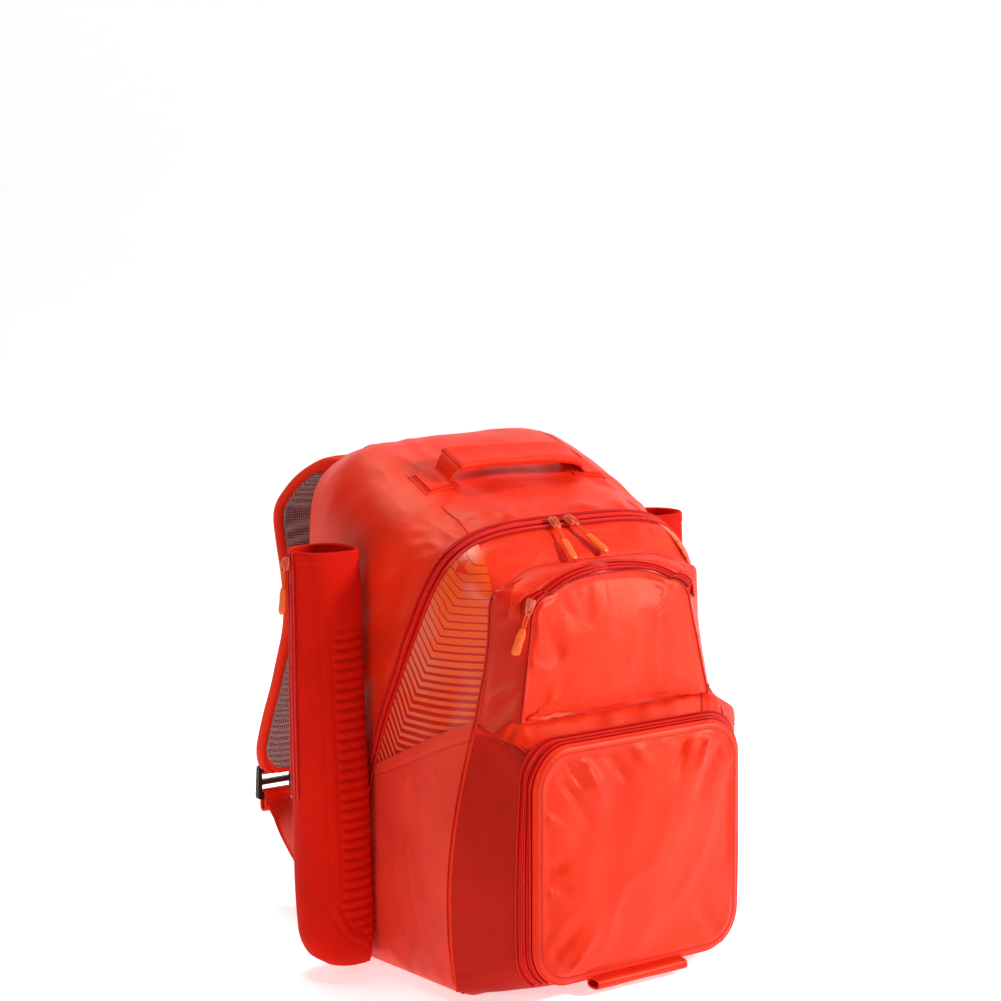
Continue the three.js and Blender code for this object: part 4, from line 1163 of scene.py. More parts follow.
# Outlines of the pockets in X and Z
def panel_ring(half_base, half_top, bottom, top, base_corner, top_corner, y):
    base = np.linspace(0, 1, 14)[:-1]
    half = [np.stack([base * (half_base - base_corner), np.full(13, float(bottom))], -1)]
    angle = np.linspace(0, math.pi / 2, 13)[:-1]
    half.append(np.stack([half_base - base_corner * (1 - np.sin(angle)),
                          bottom + base_corner * (1 - np.cos(angle))], -1))
    up = np.linspace(0, 1, 31)[:-1]
    half.append(np.stack([lerp(half_base, half_top, up), lerp(bottom + base_corner, top - top_corner, up)],
                         -1))
    angle = np.linspace(0, math.pi / 2, 17)[:-1]
    half.append(np.stack([half_top - top_corner * (1 - np.cos(angle)),
                          top - top_corner * (1 - np.sin(angle))], -1))
    over = np.linspace(1, 0, 15)
    half.append(np.stack([over * (half_top - top_corner), np.full(15, float(top))], -1))
    flat = np.concatenate(half)
    points = np.stack([flat[:, 0], np.full(len(flat), float(y)), flat[:, 1]], -1)
    return np.concatenate([points, points[1:-1][::-1] * (-1, 1, 1)])


RING_BASE = 13
RING_SIDE = RING_BASE + 12
RING_TOP = RING_SIDE + 30


def arched_ring(half_base, half_top, bottom, shoulder, top, base_corner, top_corner):
    """As panel_ring, with a top that rises in an arch from its corners to its middle."""
    ring = panel_ring(half_base, half_top, bottom, shoulder, base_corner, top_corner, 0)
    span = half_top - top_corner
    over = np.clip(1 - np.abs(ring[:, 0] / span) ** 2.8, 0, 1)
    ring[:, 2] += (top - shoulder) * over * (ring[:, 2] > shoulder - 0.01)
    return ring


def upper_ring(share):
    """The upper pocket's ring, from the body's face at 0 to its own face at 1."""
    base = arched_ring(border(UPPER_BASE_HEIGHT), border(353), UPPER_BASE_HEIGHT, 362, 377, 3, 7)
    side = (np.abs(base[:, 0]) > 100) & (base[:, 2] < 353)
    base[side, 0] = np.sign(base[side, 0]) * border(base[side, 2])
    face = arched_ring(UPPER_HALF_WIDTH + 10, UPPER_HALF_WIDTH - 6.5, UPPER_BASE_HEIGHT, 355,
                       UPPER_TOP_HEIGHT, 3, 24)
    ring = lerp(base, face, share)
    up = (ring[:, 2] - UPPER_BASE_HEIGHT) / (UPPER_TOP_HEIGHT - UPPER_BASE_HEIGHT)
    ring[:, 1] = FACE_Y - SEAT - share * lerp(UPPER_BASE_DEPTH, UPPER_TOP_DEPTH, up)
    return ring


def towards_middle(ring, share, crown):
    middle = ring.mean(0)
    inner = middle + (ring - middle) * share
    return inner - (0, crown * (1 - share ** 2), 0)


def upper_pocket():
    face = upper_ring(1)
    rows = []
    for share in np.concatenate([np.linspace(1, 0.86, 12), np.linspace(0.82, 0.08, 16)]):
        rows.append(towards_middle(face, share, UPPER_CROWN))
    grid = np.stack(rows)
    normals = grid_normals(grid, UPPER_CENTRE, True)
    from_edge = np.linalg.norm(grid - face, axis=-1)
    held = smooth(0, 6, from_edge)
    lift = FACE_EDGE_FOLD * folds(grid, 30, (0.1, 0, 1), 3.0, 7) * held * smooth(80, 15, from_edge)
    lift += FACE_FOLD * folds(grid, 60, (0.4, 0, 1), 2.2, 9) * held
    lift += FACE_PUCKER * noise_at(grid * (1, 1, 0.3), 8, 8) * held * np.exp(-from_edge / 9)
    lift += fold_lift(grid, FACE_FOLDS) * held
    # Two pressed pleats drop from the top seam.
    for x in (-66, 52):
        lift -= 1.6 * np.exp(-((grid[..., 0] - x - 0.05 * (grid[..., 2] - 300)) / 1.3) ** 2) * held
    grid = grid + normals * lift[..., None]
    add_skin("upper_face", grid, CLOTH, UPPER_CENTRE, body_cloth, True, True, ["upper_pocket"])
    # The gusset spreads from the face back to the corners of the body.
    share = np.linspace(0, 1, 30)
    grid = np.stack([upper_ring(t) for t in share])
    grid[-1] += (0, 0.6, 0)
    normals = grid_normals(grid, GUSSET_CENTRE, True)
    held = np.sin(math.pi * share[:, None]) ** 0.6
    # Its lower edge comes down to the slanting seam beneath it.
    low = smooth(262, 247, grid[..., 2]) * smooth(100, 108, np.abs(grid[..., 0]))
    grid[..., 2] -= 7 * low * np.sin(math.pi * share[:, None])
    lift = (UPPER_GUSSET_FOLD * folds(grid, 26, (0.5, -0.6, 0.6), 2.2, 12) + UPPER_GUSSET_SWELL) * held
    grid = grid + normals * lift[..., None]
    # The darker cloth here is painted shade.
    add_skin("upper_gusset", grid, CLOTH, GUSSET_CENTRE, gloss_painted_shade_cloth, True, False)
    # A dark welt runs up each side of the face, and stitches hold its top.
    welt = face + (0, -0.5, 0)
    for word, part in (("right", welt[RING_BASE + 4:RING_TOP + 14]),
                       ("left", welt[-RING_TOP - 13:-RING_BASE - 4])):
        add_tube(f"upper_welt_{word}", part, 0.7, 8, seam_thread)
    top = welt[RING_TOP + 8:-RING_TOP - 7] + (0, -0.3, 0)
    parts = stitch_mesh(top, 0.2, (0, -100, 250))
    parts.append(tube_mesh(top + (0, 0.3, 0.4), 0.35, 6))
    add_sewn("upper_face_stitches", parts, seam_thread)


UPPER_ZIP_WIDTH = 11
UPPER_ZIP_STANDOFF = 7.5


def beside_face(columns, distance):
    """Points on the upper gusset at a distance from the face's edge."""
    inner = upper_ring(1)[columns]
    way = unit(upper_ring(0)[columns] - inner)
    return inner + way * distance


def upper_zip():
    count = len(upper_ring(0))
    first = RING_TOP + 6
    columns = np.arange(first, count - first + 1)
    distance = UPPER_ZIP_STANDOFF + ZIP_ACROSS * UPPER_ZIP_WIDTH / 2
    grid = np.stack([beside_face(columns, d) for d in distance[::-1]], 1)
    add_band("upper_zip_tape", grid, ZIP_RISE * 0.8 + 1.6, GUSSET_CENTRE, zip_tape,
             ["upper_zip"])


# The hood over the upper zip, from the slope to just above the coil
def upper_hood():
    count = len(upper_ring(0))
    first = RING_SIDE + 28
    columns = np.arange(first, count - first + 1)
    front = beside_face(columns, UPPER_ZIP_STANDOFF + UPPER_ZIP_WIDTH / 2 + 1)
    front = front + (0, -2.2, 1.6)
    x = upper_ring(0)[columns][:, 0] * 0.985
    y = CORNER_Y + 7.0 * smooth(114, 60, np.abs(x)) - 1.5
    rear, normal = surface_at(x, y)
    rear[:, 2] = np.minimum(np.maximum(rear[:, 2], front[:, 2] + 2.0), 382)
    rear = rear - normal * 0.3
    bend = lerp(rear, front, 0.5) + (0, -4.0, 3.6)
    rows = []
    for t in np.linspace(0, 1, 14):
        rows.append((1 - t) ** 2 * rear + 2 * t * (1 - t) * bend + t * t * front)
    grid = np.stack(rows)
    normals = grid_normals(grid, GUSSET_CENTRE, False)
    share = np.linspace(0, 1, 14)[:, None]
    lift = 1.3 * folds(grid, 22, (0.2, -1, 0.4), 1.8, 15) * np.sin(math.pi * share)
    grid = grid + normals * lift[..., None]
    add_skin("upper_hood", grid, 1.4, GUSSET_CENTRE, body_cloth, False, False)
    parts = stitch_mesh(rows[11] + (0, -0.9, 0.5), 0.4, GUSSET_CENTRE)
    parts.append(tube_mesh(rows[0] + (0, -0.3, 0.3), 0.4, 6))
    add_sewn("hood_stitches", parts, seam_thread)


upper_pocket()
upper_zip()
upper_hood()


# Lower pocket: gusset, zip and lid
def lower_ring(share, y):
    """The lower pocket's ring, from the body's corners at 0 to the lid's outline at 1."""
    base = panel_ring(border(25), border(240), LOWER_BOTTOM_HEIGHT, LOWER_TOP_HEIGHT + 2, BASE_RADIUS, 5, y)
    side = (np.abs(base[:, 0]) > 120) & (base[:, 2] < 240) & (base[:, 2] > BASE_RADIUS)
    base[side, 0] = np.sign(base[side, 0]) * (border(base[side, 2]) - 0.8)
    lid = panel_ring(LID_HALF_WIDTH, LID_HALF_WIDTH, LID_BOTTOM_HEIGHT, LID_TOP_HEIGHT, LID_CORNER_RADIUS,
                     LID_CORNER_RADIUS, y)
    return lerp(base, lid, share)


def gusset_ring(at):
    """The gusset's ring at a place between the rows of its table."""
    share = np.interp(at, range(len(GUSSET)), [row[0] for row in GUSSET])
    forward = np.interp(at, range(len(GUSSET)), [row[1] for row in GUSSET])
    return lower_ring(float(share), FACE_Y - SEAT - LOWER_DEPTH * float(forward))


def lower_gusset():
    at = np.linspace(0, 3, 46)
    grid = np.stack([gusset_ring(a) for a in at])
    normals = grid_normals(grid, LOWER_CENTRE, True)
    share = np.interp(at, range(len(GUSSET)), [row[0] for row in GUSSET])[:, None] / 0.72
    x = np.abs(grid[..., 0])
    # The gathered band rises to the upper pocket's lower seam.
    on_top = smooth(222, 234, grid[..., 2])
    risen = 9 * smooth(0.1, 0.55, share) * smooth(1.0, 0.62, share) * smooth(128, 108, x) * on_top
    held = np.sin(math.pi * np.clip(share, 0, 1)) ** 0.7 * smooth(136, 118, x)
    pucker = grid * (1, 0.4, 1)
    gathers = BAND_PUCKER * noise_at(pucker, 11, 21) + BAND_FOLD * folds(grid, 24, (0.25, 1, 0), 1.8, 22)
    lift = (gathers + BAND_SWELL) * on_top * held
    lift = lift * smooth(0, 0.16, np.abs(share - 0.61))
    middle = np.sin(math.pi * np.clip(share, 0, 1)) ** 0.7
    lift += 1.2 * folds(grid, 70, (0, 0.2, 1), 2.0, 23) * (1 - on_top) * middle
    grid = grid + normals * lift[..., None] + risen[..., None] * np.array([0, 0, 1])
    # Its cloth carries painted shade on the sides.
    add_skin("lower_gusset_cloth", grid, CLOTH, LOWER_CENTRE, gusset_painted_shade_cloth, True, False,
             ["lower_gusset"])
    # The slanting seams run from the body's corners to the zip's upper corners.
    count = grid.shape[1]
    for side, word in ((-1, "left"), (1, "right")):
        column = RING_TOP + 8 if side > 0 else count - RING_TOP - 8
        path = (grid + normals * 0.5)[:36, column]
        parts = [tube_mesh(path, 0.5, 8)]
        parts += stitch_mesh((grid + normals * 0.2)[1:35, column - 2 * side], 0.25, LOWER_CENTRE)
        add_sewn(f"slant_seam_{word}", parts, seam_thread)
    # The seam across the front, above the gathered band.
    row = int(np.argmin(np.abs(share[:, 0] - 0.61)))
    across = np.linspace(-108, 101, 90)
    top = np.stack([across, np.full(90, FACE_Y - SEAT - UPPER_BASE_DEPTH - 0.6),
                    np.full(90, UPPER_BASE_HEIGHT + 1.2)], -1)
    top[:, 2] += 0.7 * noise_at(top, 8, 24)
    wedge = np.array([(-128.6, -157.0, 241.0), (-119.0, -164.0, 244.0)])
    add_tube("band_seam", np.concatenate([wedge, top]), 0.6, 8, seam_thread)
    # A short seam closes the band's right end.
    column = int(np.argmin(np.abs(grid[row, :count // 2, 0] - 103) + 1000
                           * (grid[row, :count // 2, 2] < 225)))
    add_tube("band_end_seam", (grid + normals * 0.5)[row:36, column], 0.6, 8, seam_thread)


lower_gusset()


def lower_zip():
    rear = gusset_ring(2)
    front = gusset_ring(3)
    first = RING_BASE + 4
    chosen = np.arange(first, len(rear) - first + 1)
    share = 0.32 + (ZIP_ACROSS + 1) / 2 * 0.66
    grid = rear[chosen][:, None] + (front - rear)[chosen][:, None] * share[:, None]
    add_band("lower_zip_tape", grid, ZIP_RISE, LOWER_CENTRE, zip_tape, ["lower_zip"])


lower_zip()


def inset_ring(ring, distance, y):
    along = unit((np.roll(ring, -1, 0) - np.roll(ring, 1, 0)) * (1, 0, 1))
    moved = ring + np.stack([-along[:, 2], 0 * along[:, 0], along[:, 0]], -1) * distance
    moved[:, 1] = y
    return moved


def lower_lid():
    outline = lower_ring(1, LID_Y)
    rows = []
    for turn in np.linspace(0, math.pi / 2, 7):
        rows.append(inset_ring(outline, LID_EDGE * (1 - math.cos(turn)),
                               LID_Y - SEAT - LID_EDGE * math.sin(turn)))
    face = rows[-1]
    middle = np.array([0, LID_Y - LID_EDGE - SEAT, (LID_BOTTOM_HEIGHT + LID_TOP_HEIGHT) / 2])
    for share in np.concatenate([np.linspace(0.99, 0.8, 22), np.linspace(0.775, 0.06, 30)]):
        rows.append(middle + (face - middle) * share - (0, LID_CROWN * (1 - share ** 2.4), 0))
    grid = np.stack(rows)
    normals = grid_normals(grid, LOWER_CENTRE, True)
    edge_distance = np.linalg.norm((grid - outline) * (1, 0, 1), axis=-1)
    held = smooth(LID_EDGE + 1, LID_EDGE + 9, edge_distance)
    lift = LID_FOLD_SHARE * fold_lift(grid, LID_FOLDS) * held
    lift += LID_FOLD * folds(grid, 62, (0.5, 0, 1), 2.2, 31) * held
    lift += LID_PUCKER * noise_at(grid, 9, 32) * held * np.exp(-edge_distance / 12)
    grid = grid + normals * lift[..., None]
    add_skin("lower_lid_cloth", grid, CLOTH, LOWER_CENTRE, body_cloth, True, True,
             ["lower_lid"])
    ring = inset_ring(outline, 0.4, LID_Y - 1.4)
    add_tube("lid_piping", np.concatenate([ring, ring[:2]]), 1.7, 10, piping_cloth)
    line = inset_ring(outline, LID_EDGE + 1.5, LID_Y - LID_EDGE - SEAT - 0.5)
    add_sewn("lid_stitches", stitch_mesh(line, 0.25, LOWER_CENTRE), seam_thread)


lower_lid()


# Side pockets: a sheet over each lower side, with a hem at its mouth
def side_pocket(sign, gape, word):
    up = np.concatenate([np.linspace(0, 0.93, 52), np.linspace(0.94, 1, 8)])[:, None]
    along = (1 - (1 - np.linspace(0, 1, 70)) ** 1.3)[None, :]
    loose = gape > 0
    rim = lerp(SIDE_POCKET_REAR, SIDE_POCKET_FRONT, along ** 5 if loose else along)
    z = lerp(3.0, rim, up)
    seam = depth_at(table_row(SEAM, z / BODY_HEIGHT)[0])
    back = lerp(seam - 1.5, seam - ZIP_WIDTH / 2 - 1.5, smooth(ZIP_END_HEIGHT - 20, ZIP_END_HEIGHT, z))
    y = lerp(back, CORNER_Y - 1.0 if loose else CORNER_Y + 0.6, along)
    inward = BASE_RADIUS - np.sqrt(np.clip(BASE_RADIUS ** 2 - np.clip(BASE_RADIUS - z, 0, None) ** 2, 0,
                                           None))
    wide = half_width(np.maximum(z, 4), y)
    if loose:
        # This pocket's cloth is slack: it stands off the body and turns in at its front.
        _, _, corner = table_row(WIDTHS, z / BODY_HEIGHT)
        full = np.maximum(half_width(np.maximum(z, 4), np.maximum(y, CORNER_Y + CORNER_TURN)),
                          HALF_BODY * corner)
        opened = gape * up ** 2 * np.sin(math.pi * along ** 2.6) ** 0.7
        bulge = 17 * np.sin(math.pi * along ** 3) ** 0.8 * np.sin(math.pi * up ** 0.8) ** 0.7
        turned = smooth(0.80, 1.0, along)
        x = lerp(np.where(y < CORNER_Y + CORNER_TURN, full, wide) + opened + bulge, wide,
                 turned) - inward + 1.2
    else:
        bulge = 3.5 * np.sin(math.pi * along ** 1.4) ** 0.8 * np.sin(math.pi * up) ** 0.7
        x = wide - inward + 1.2 + bulge
    grid = np.stack([sign * x, y, z], -1)
    held = np.sin(math.pi * along) ** 0.5 * smooth(0, 0.2, up)
    lift = POCKET_LONG_FOLD * folds(grid, 62, (0, 0.5, 1), 2.0, 41) * held
    lift += POCKET_FOLD * folds(grid, 28, (0, 0.7, 1), 2.2, 42) * held
    at_base = smooth(0, 0.06, up) * smooth(0.3, 0.08, up)
    lift += POCKET_PUCKER * noise_at(grid * (1, 1, 0.5), 13, 43) * at_base
    grid = grid + lift[..., None] * np.array([sign, 0, 0])
    hem = np.where(up > 0.94, 0.7, 0.0) * np.ones_like(along)
    rise = SIDE_POCKET_WALL * 0.4 + hem
    normals = grid_normals(grid, BODY_CENTRE, False)
    over = grid + normals * rise[..., None]
    under = grid - normals * SIDE_POCKET_WALL * 0.6
    points = two_sided(over, under)
    add_piece(f"side_pocket_cloth_{word}", points, shell_faces(*grid.shape[:2], False), side_cloth,
              [f"side_pocket_{word}"])
    add_sewn(f"side_pocket_stitches_{word}", stitch_mesh(over[51], 0.3, (0, 0, 150)), seam_thread)


side_pocket(-1, 0, "left")
side_pocket(1, RIGHT_POCKET_GAPE, "right")


# Bat sleeves
def sleeve_point(height, turn):
    outer, long, bend = table_row(SLEEVE, height)
    across = SLEEVE_ACROSS * outer / 2
    along = SLEEVE_ALONG * long / 2
    reach = np.cos(turn)
    power = np.where(reach < 0, 0.55, 0.92)
    out = np.sign(reach) * np.abs(reach) ** power
    x = -(HALF_BODY + SLEEVE_STANDOFF + across * (1 + out))
    y = SLEEVE_SETBACK + bend * SLEEVE_LEAN + along * np.sin(turn)
    z = lerp(SLEEVE_FLOOR, SLEEVE_HEIGHT, height) + 0 * x
    return np.stack([x, y, z], -1)


RIB_PITCH = 9.0
RIB_HEIGHT = 1.5
HEM_HEIGHT = 11

# The moulded frame beside the ribs: height and turn of its outer line.
SLEEVE_FRAME = [(20, -1.95), (28, -1.72), (37, -1.50), (48, -1.22), (62, -0.98), (71, -0.86), (84, -1.00),
                (120, -0.98), (388, -0.90)]


def sleeve(sign, word):
    turns = np.linspace(0, 2 * math.pi, 120, endpoint=False)
    z = np.concatenate([np.linspace(SLEEVE_HEIGHT, SLEEVE_HEIGHT - HEM_HEIGHT - 2, 12)[:-1],
                        np.linspace(SLEEVE_HEIGHT - HEM_HEIGHT - 2, 16, 300)[:-1],
                        np.linspace(16, SLEEVE_FLOOR, 5)])
    height = (z - SLEEVE_FLOOR) / (SLEEVE_HEIGHT - SLEEVE_FLOOR)
    grid = sleeve_point(height[:, None], turns[None, :])
    normals = grid_normals(grid, (-HALF_BODY - 35, 0, 200), True)
    signed = (turns + math.pi) % (2 * math.pi) - math.pi
    zz = z[:, None] + 0 * signed[None, :]
    tt = signed[None, :] + 0 * z[:, None]
    frame_line = np.interp(zz, [row[0] for row in SLEEVE_FRAME], [row[1] for row in SLEEVE_FRAME])
    beyond = (frame_line - tt) * 29
    shown = smooth(345, 290, zz)
    lift = -0.9 * np.exp(-(beyond / 1.3) ** 2) * shown
    lift -= 0.9 * np.exp(-((beyond - 9) / 1.3) ** 2) * shown
    lift += 0.5 * smooth(0, 1.5, beyond) * smooth(9, 7.5, beyond) * shown
    ribbed = smooth(10.5, 12, beyond) * smooth(-2.35, -2.2, tt) * smooth(330, 300, zz) * smooth(30, 34, zz)
    wave = np.abs(((zz / RIB_PITCH) % 1) - 0.5) * 2
    lift += RIB_HEIGHT * (smooth(0.30, 0.55, wave) - 0.6) * ribbed
    hem = smooth(SLEEVE_HEIGHT - HEM_HEIGHT, SLEEVE_HEIGHT - HEM_HEIGHT + 1, zz)
    lift += 0.5 * hem - 0.6 * np.exp(-((zz - SLEEVE_HEIGHT + HEM_HEIGHT) / 0.9) ** 2)
    lift += 0.7 * noise_at(grid, 60, 51)
    lift -= 1.2 * smooth(1.5, 0, SLEEVE_HEIGHT - zz)
    grid = grid + normals * lift[..., None]
    inner_rows = np.linspace(0, len(z) - 1, len(z)).astype(int)
    inner = (sleeve_point(height[:, None], turns[None, :]) - normals * SLEEVE_WALL)[inner_rows]
    inner[0] = grid[0] * 0.5 + inner[0] * 0.5
    inner[:, :, 2] = np.maximum(inner[:, :, 2], SLEEVE_FLOOR + SLEEVE_WALL)
    inner[0, :, 2] = grid[0, :, 2]
    points = two_sided(grid, inner) * (-sign, 1, 1)
    add_piece(f"sleeve_cloth_{word}", points, shell_faces(*grid.shape[:2], True, True), sleeve_cloth,
              [f"bat_sleeve_{word}"], 60)
    hem_line = grid[np.argmin(np.abs(z - (SLEEVE_HEIGHT - HEM_HEIGHT + 0.6)))]
    around = np.concatenate([hem_line, hem_line[:1]])
    add_sewn(f"sleeve_stitches_{word}", stitch_mesh(around, 0.3, (-HALF_BODY - 35, 0, 377)), seam_thread,
             (-sign, 1, 1))
    # The zip down the outer side, with a rounded lower end.
    end = 1 - SLEEVE_ZIP_LENGTH / (SLEEVE_HEIGHT - SLEEVE_FLOOR)
    rounded = end + 0.016 * np.cos(np.linspace(0, 1.45, 9)[1:])
    heights = np.concatenate([np.linspace(0.998, end + 0.016, 120), rounded])
    taper = np.ones(len(heights))
    taper[-8:] = np.sqrt(np.clip(1 - ((end + 0.016 - heights[-8:]) / 0.0162) ** 2, 0.03, 1))
    spread = SLEEVE_ZIP_WIDTH / SLEEVE_ALONG
    zip_grid = sleeve_point(heights[:, None], SLEEVE_ZIP_TURN + ZIP_ACROSS[None, :] * spread
                            * taper[:, None])
    rise = (ZIP_RISE * 0.75)[None, :] * (0.5 + 0.5 * taper[:, None])
    zip_grid = zip_grid * (-sign, 1, 1)
    centre = (sign * (HALF_BODY + 35), 0, 200)
    add_band(f"sleeve_zip_tape_{word}", zip_grid, rise, centre, zip_tape, [f"sleeve_zip_{word}"])


sleeve(-1, "left")
sleeve(1, "right")


# Shoulder straps
def strap_frame(count):
    at = np.linspace(0, STRAP[-1][0], count)
    edge, behind, height, wide = table_row(STRAP, at)
    wide = wide * STRAP_WIDTH
    path = np.stack([-(edge * HALF_BODY - wide / 2), behind * BACK_DEPTH, height * BODY_HEIGHT], -1)
    along = unit(np.gradient(path, axis=0))
    across = np.broadcast_to(np.array([1.0, 0, 0]), path.shape)
    up = unit(np.cross(along, across))
    return path, across, up, wide


def strap_section(wide, thick):
    """Half of the section from edge to edge, with a sewn dip inside each bound edge."""
    u = np.sin(np.linspace(-1, 1, 31) * math.pi / 2)
    dip = (1 - 2 * STRAP_BINDING / wide)
    rise = thick / 2 * np.clip(1 - np.abs(u) ** 7, 0, 1) ** 0.4
    rise = rise - 1.3 * np.exp(-((np.abs(u) - dip) * wide / 2 / 1.6) ** 2)
    upper = np.stack([u * wide / 2, rise], -1)
    lower = np.stack([u * wide / 2, -rise], -1)[::-1]
    return np.concatenate([upper, lower[1:-1]])


def strap(sign, word):
    path, across, up, wide = strap_frame(110)
    sections = np.stack([strap_section(w, STRAP_THICKNESS) for w in wide])
    end = smooth(0, 4, np.arange(110))[::-1][:, None, None] * (1, 0) + (0, 1)
    sections = sections * lerp(0.8, 1, np.clip(end, 0, 1))
    points, faces = sweep_mesh(path, across, up, sections)
    soft = 0.7 * noise_at(points, 34, 61)
    points = points + soft[:, None] * np.repeat(up, sections.shape[1], axis=0)
    pad = add_piece(f"strap_pad_{word}", points * (-sign, 1, 1), faces, strap_cloth,
                    [f"shoulder_strap_{word}"])
    # The mesh lining faces the back panel, inside the bound edges.
    first, last = 14, 105
    half = wide[first:last] / 2 - STRAP_BINDING
    u = np.linspace(-1, 1, 21)
    tip = np.sqrt(np.clip(1 - smooth(0.82, 1.02, np.linspace(0, 1, last - first)) ** 2 * 0.75, 0, 1))
    grid = path[first:last, None] + (u[None, :] * (half * tip)[:, None])[...,
                                                                         None] * across[first:last, None]
    crown = 0.9 * (1 - u ** 2)
    rise = STRAP_THICKNESS / 2 + 0.1 + crown
    over = grid + up[first:last, None] * (rise + 0.9)[None, :, None]
    under = grid + up[first:last, None] * (STRAP_THICKNESS / 2 - 1.2)
    points = two_sided(over, under)
    add_piece(f"strap_lining_{word}", points * (-sign, 1, 1), shell_faces(*grid.shape[:2], False),
              spacer_mesh,
              [f"strap_mesh_{word}"])
    # Two rows of stitches hold the binding.
    parts = []
    for side in (-1, 1):
        line = path[2:108] + (side * (wide[2:108] / 2 - STRAP_BINDING + 0.5))[:, None] * across[2:108]
        for face in (-1, 1):
            parts += stitch_mesh(line + face * (STRAP_THICKNESS / 2 - 1.0) * up[2:108], 0.2,
                                 (-HALF_BODY / 2, 60, 300))
    add_sewn(f"strap_stitches_{word}", parts, bright_thread, (-sign, 1, 1))
    # Webbing is sewn down the outer face.
    section = np.array([(-11, -0.7), (-11, 0.7), (11, 0.7), (11, -0.7)])
    span = slice(18, 104)
    line = path[span] - up[span] * (STRAP_THICKNESS / 2 + 0.3)
    points, faces = sweep_mesh(line, across[span], up[span], np.broadcast_to(section, (86, 4, 2)))
    add_piece(f"strap_webbing_{word}", points * (-sign, 1, 1), faces, webbing_cloth, (), 40)


strap(-1, "left")
strap(1, "right")

# Buckles keep the frame's shape, with rounded edges.
for word in ("left", "right"):
    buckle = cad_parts[f"strap_buckle_{word}"]
    buckle.data.materials.clear()
    buckle.data.materials.append(black_plastic)
    rounding = buckle.modifiers.new("rounding", "BEVEL")
    rounding.width = 0.9 * MM
    rounding.segments = 3
    rounding.limit_method = "ANGLE"
    rounding.angle_limit = math.radians(40)


# Webbing loops through the buckles, the hang loop and the wings
def loop_mesh(middle, half_height, half_gap, width, thickness):
    """A flat webbing loop in the Y-Z plane with stadium ends."""
    reach = half_height - half_gap
    turns = np.linspace(0, math.pi, 15)
    inner, outer = [], []
    for end in (1, -1):
        for angle in turns:
            for store, grow in ((inner, 0), (outer, thickness)):
                radius = half_gap + grow
                store.append((end * radius * math.cos(angle), end * (reach + radius * math.sin(angle))))
    ring_in = np.array(inner)
    ring_out = np.array(outer)
    edge = [(-1.0, 0.0), (-1.0, 1.0), (-0.97, 1.12), (0.97, 1.12), (1.0, 1.0), (1.0, 0.0), (0.97, -0.12),
            (-0.97, -0.12)]
    rings = []
    for side, depth in edge:
        flat = lerp(ring_in, ring_out, depth)
        rings.append(np.stack([np.full(len(flat), side * width / 2), flat[:, 0], flat[:, 1]], -1))
    grid = np.stack(rings, 1)
    count, around = grid.shape[:2]
    faces = []
    for i in range(count):
        for j in range(around):
            k = (j + 1) % around
            n = (i + 1) % count
            faces.append([i * around + j, i * around + k, n * around + k, n * around + j])
    return grid.reshape(-1, 3) + np.asarray(middle, float), faces


LOOP_ROOM = BUCKLE_THICKNESS / 2 + 0.5
LOOP_REACH = 9
BAR_REACH = (BUCKLE_HEIGHT - BUCKLE_BAR) / 2
strap_end = strap_frame(20)[0][-1]
BUCKLE_X = strap_end[0]
BUCKLE_Y = strap_end[1] + STRAP_THICKNESS / 2 + SEAT + WEBBING_THICKNESS + LOOP_ROOM
BUCKLE_Z = strap_end[2] + BUCKLE_BAR - BUCKLE_HEIGHT / 2
for side, word in ((-1, "left"), (1, "right")):
    for way, part in ((1, "strap_loop"), (-1, "wing_loop")):
        z = BUCKLE_Z + way * (BAR_REACH + LOOP_REACH - LOOP_ROOM - 2)
        points, faces = loop_mesh((BUCKLE_X, BUCKLE_Y, z), LOOP_REACH, LOOP_ROOM, WEBBING_WIDTH,
                                  WEBBING_THICKNESS)
        add_piece(f"{part}_webbing_{word}", points * (-side, 1, 1), faces, webbing_cloth,
                  [f"{part}_{word}"], 40)


def hang_loop():
    width, height, thickness = 25, 34, 2.4
    gap = width / 5
    panel_top = ARCH[0][1] * BODY_HEIGHT - BACK_EDGE_RADIUS
    middle = (0, BACK_DEPTH + SEAT + thickness + gap, panel_top + height / 2 - 2 * gap)
    points, faces = loop_mesh(middle, height / 2 - thickness, gap, width, thickness)
    add_piece("hang_loop_webbing", points, faces, webbing_cloth, ["hang_loop"], 40)


hang_loop()


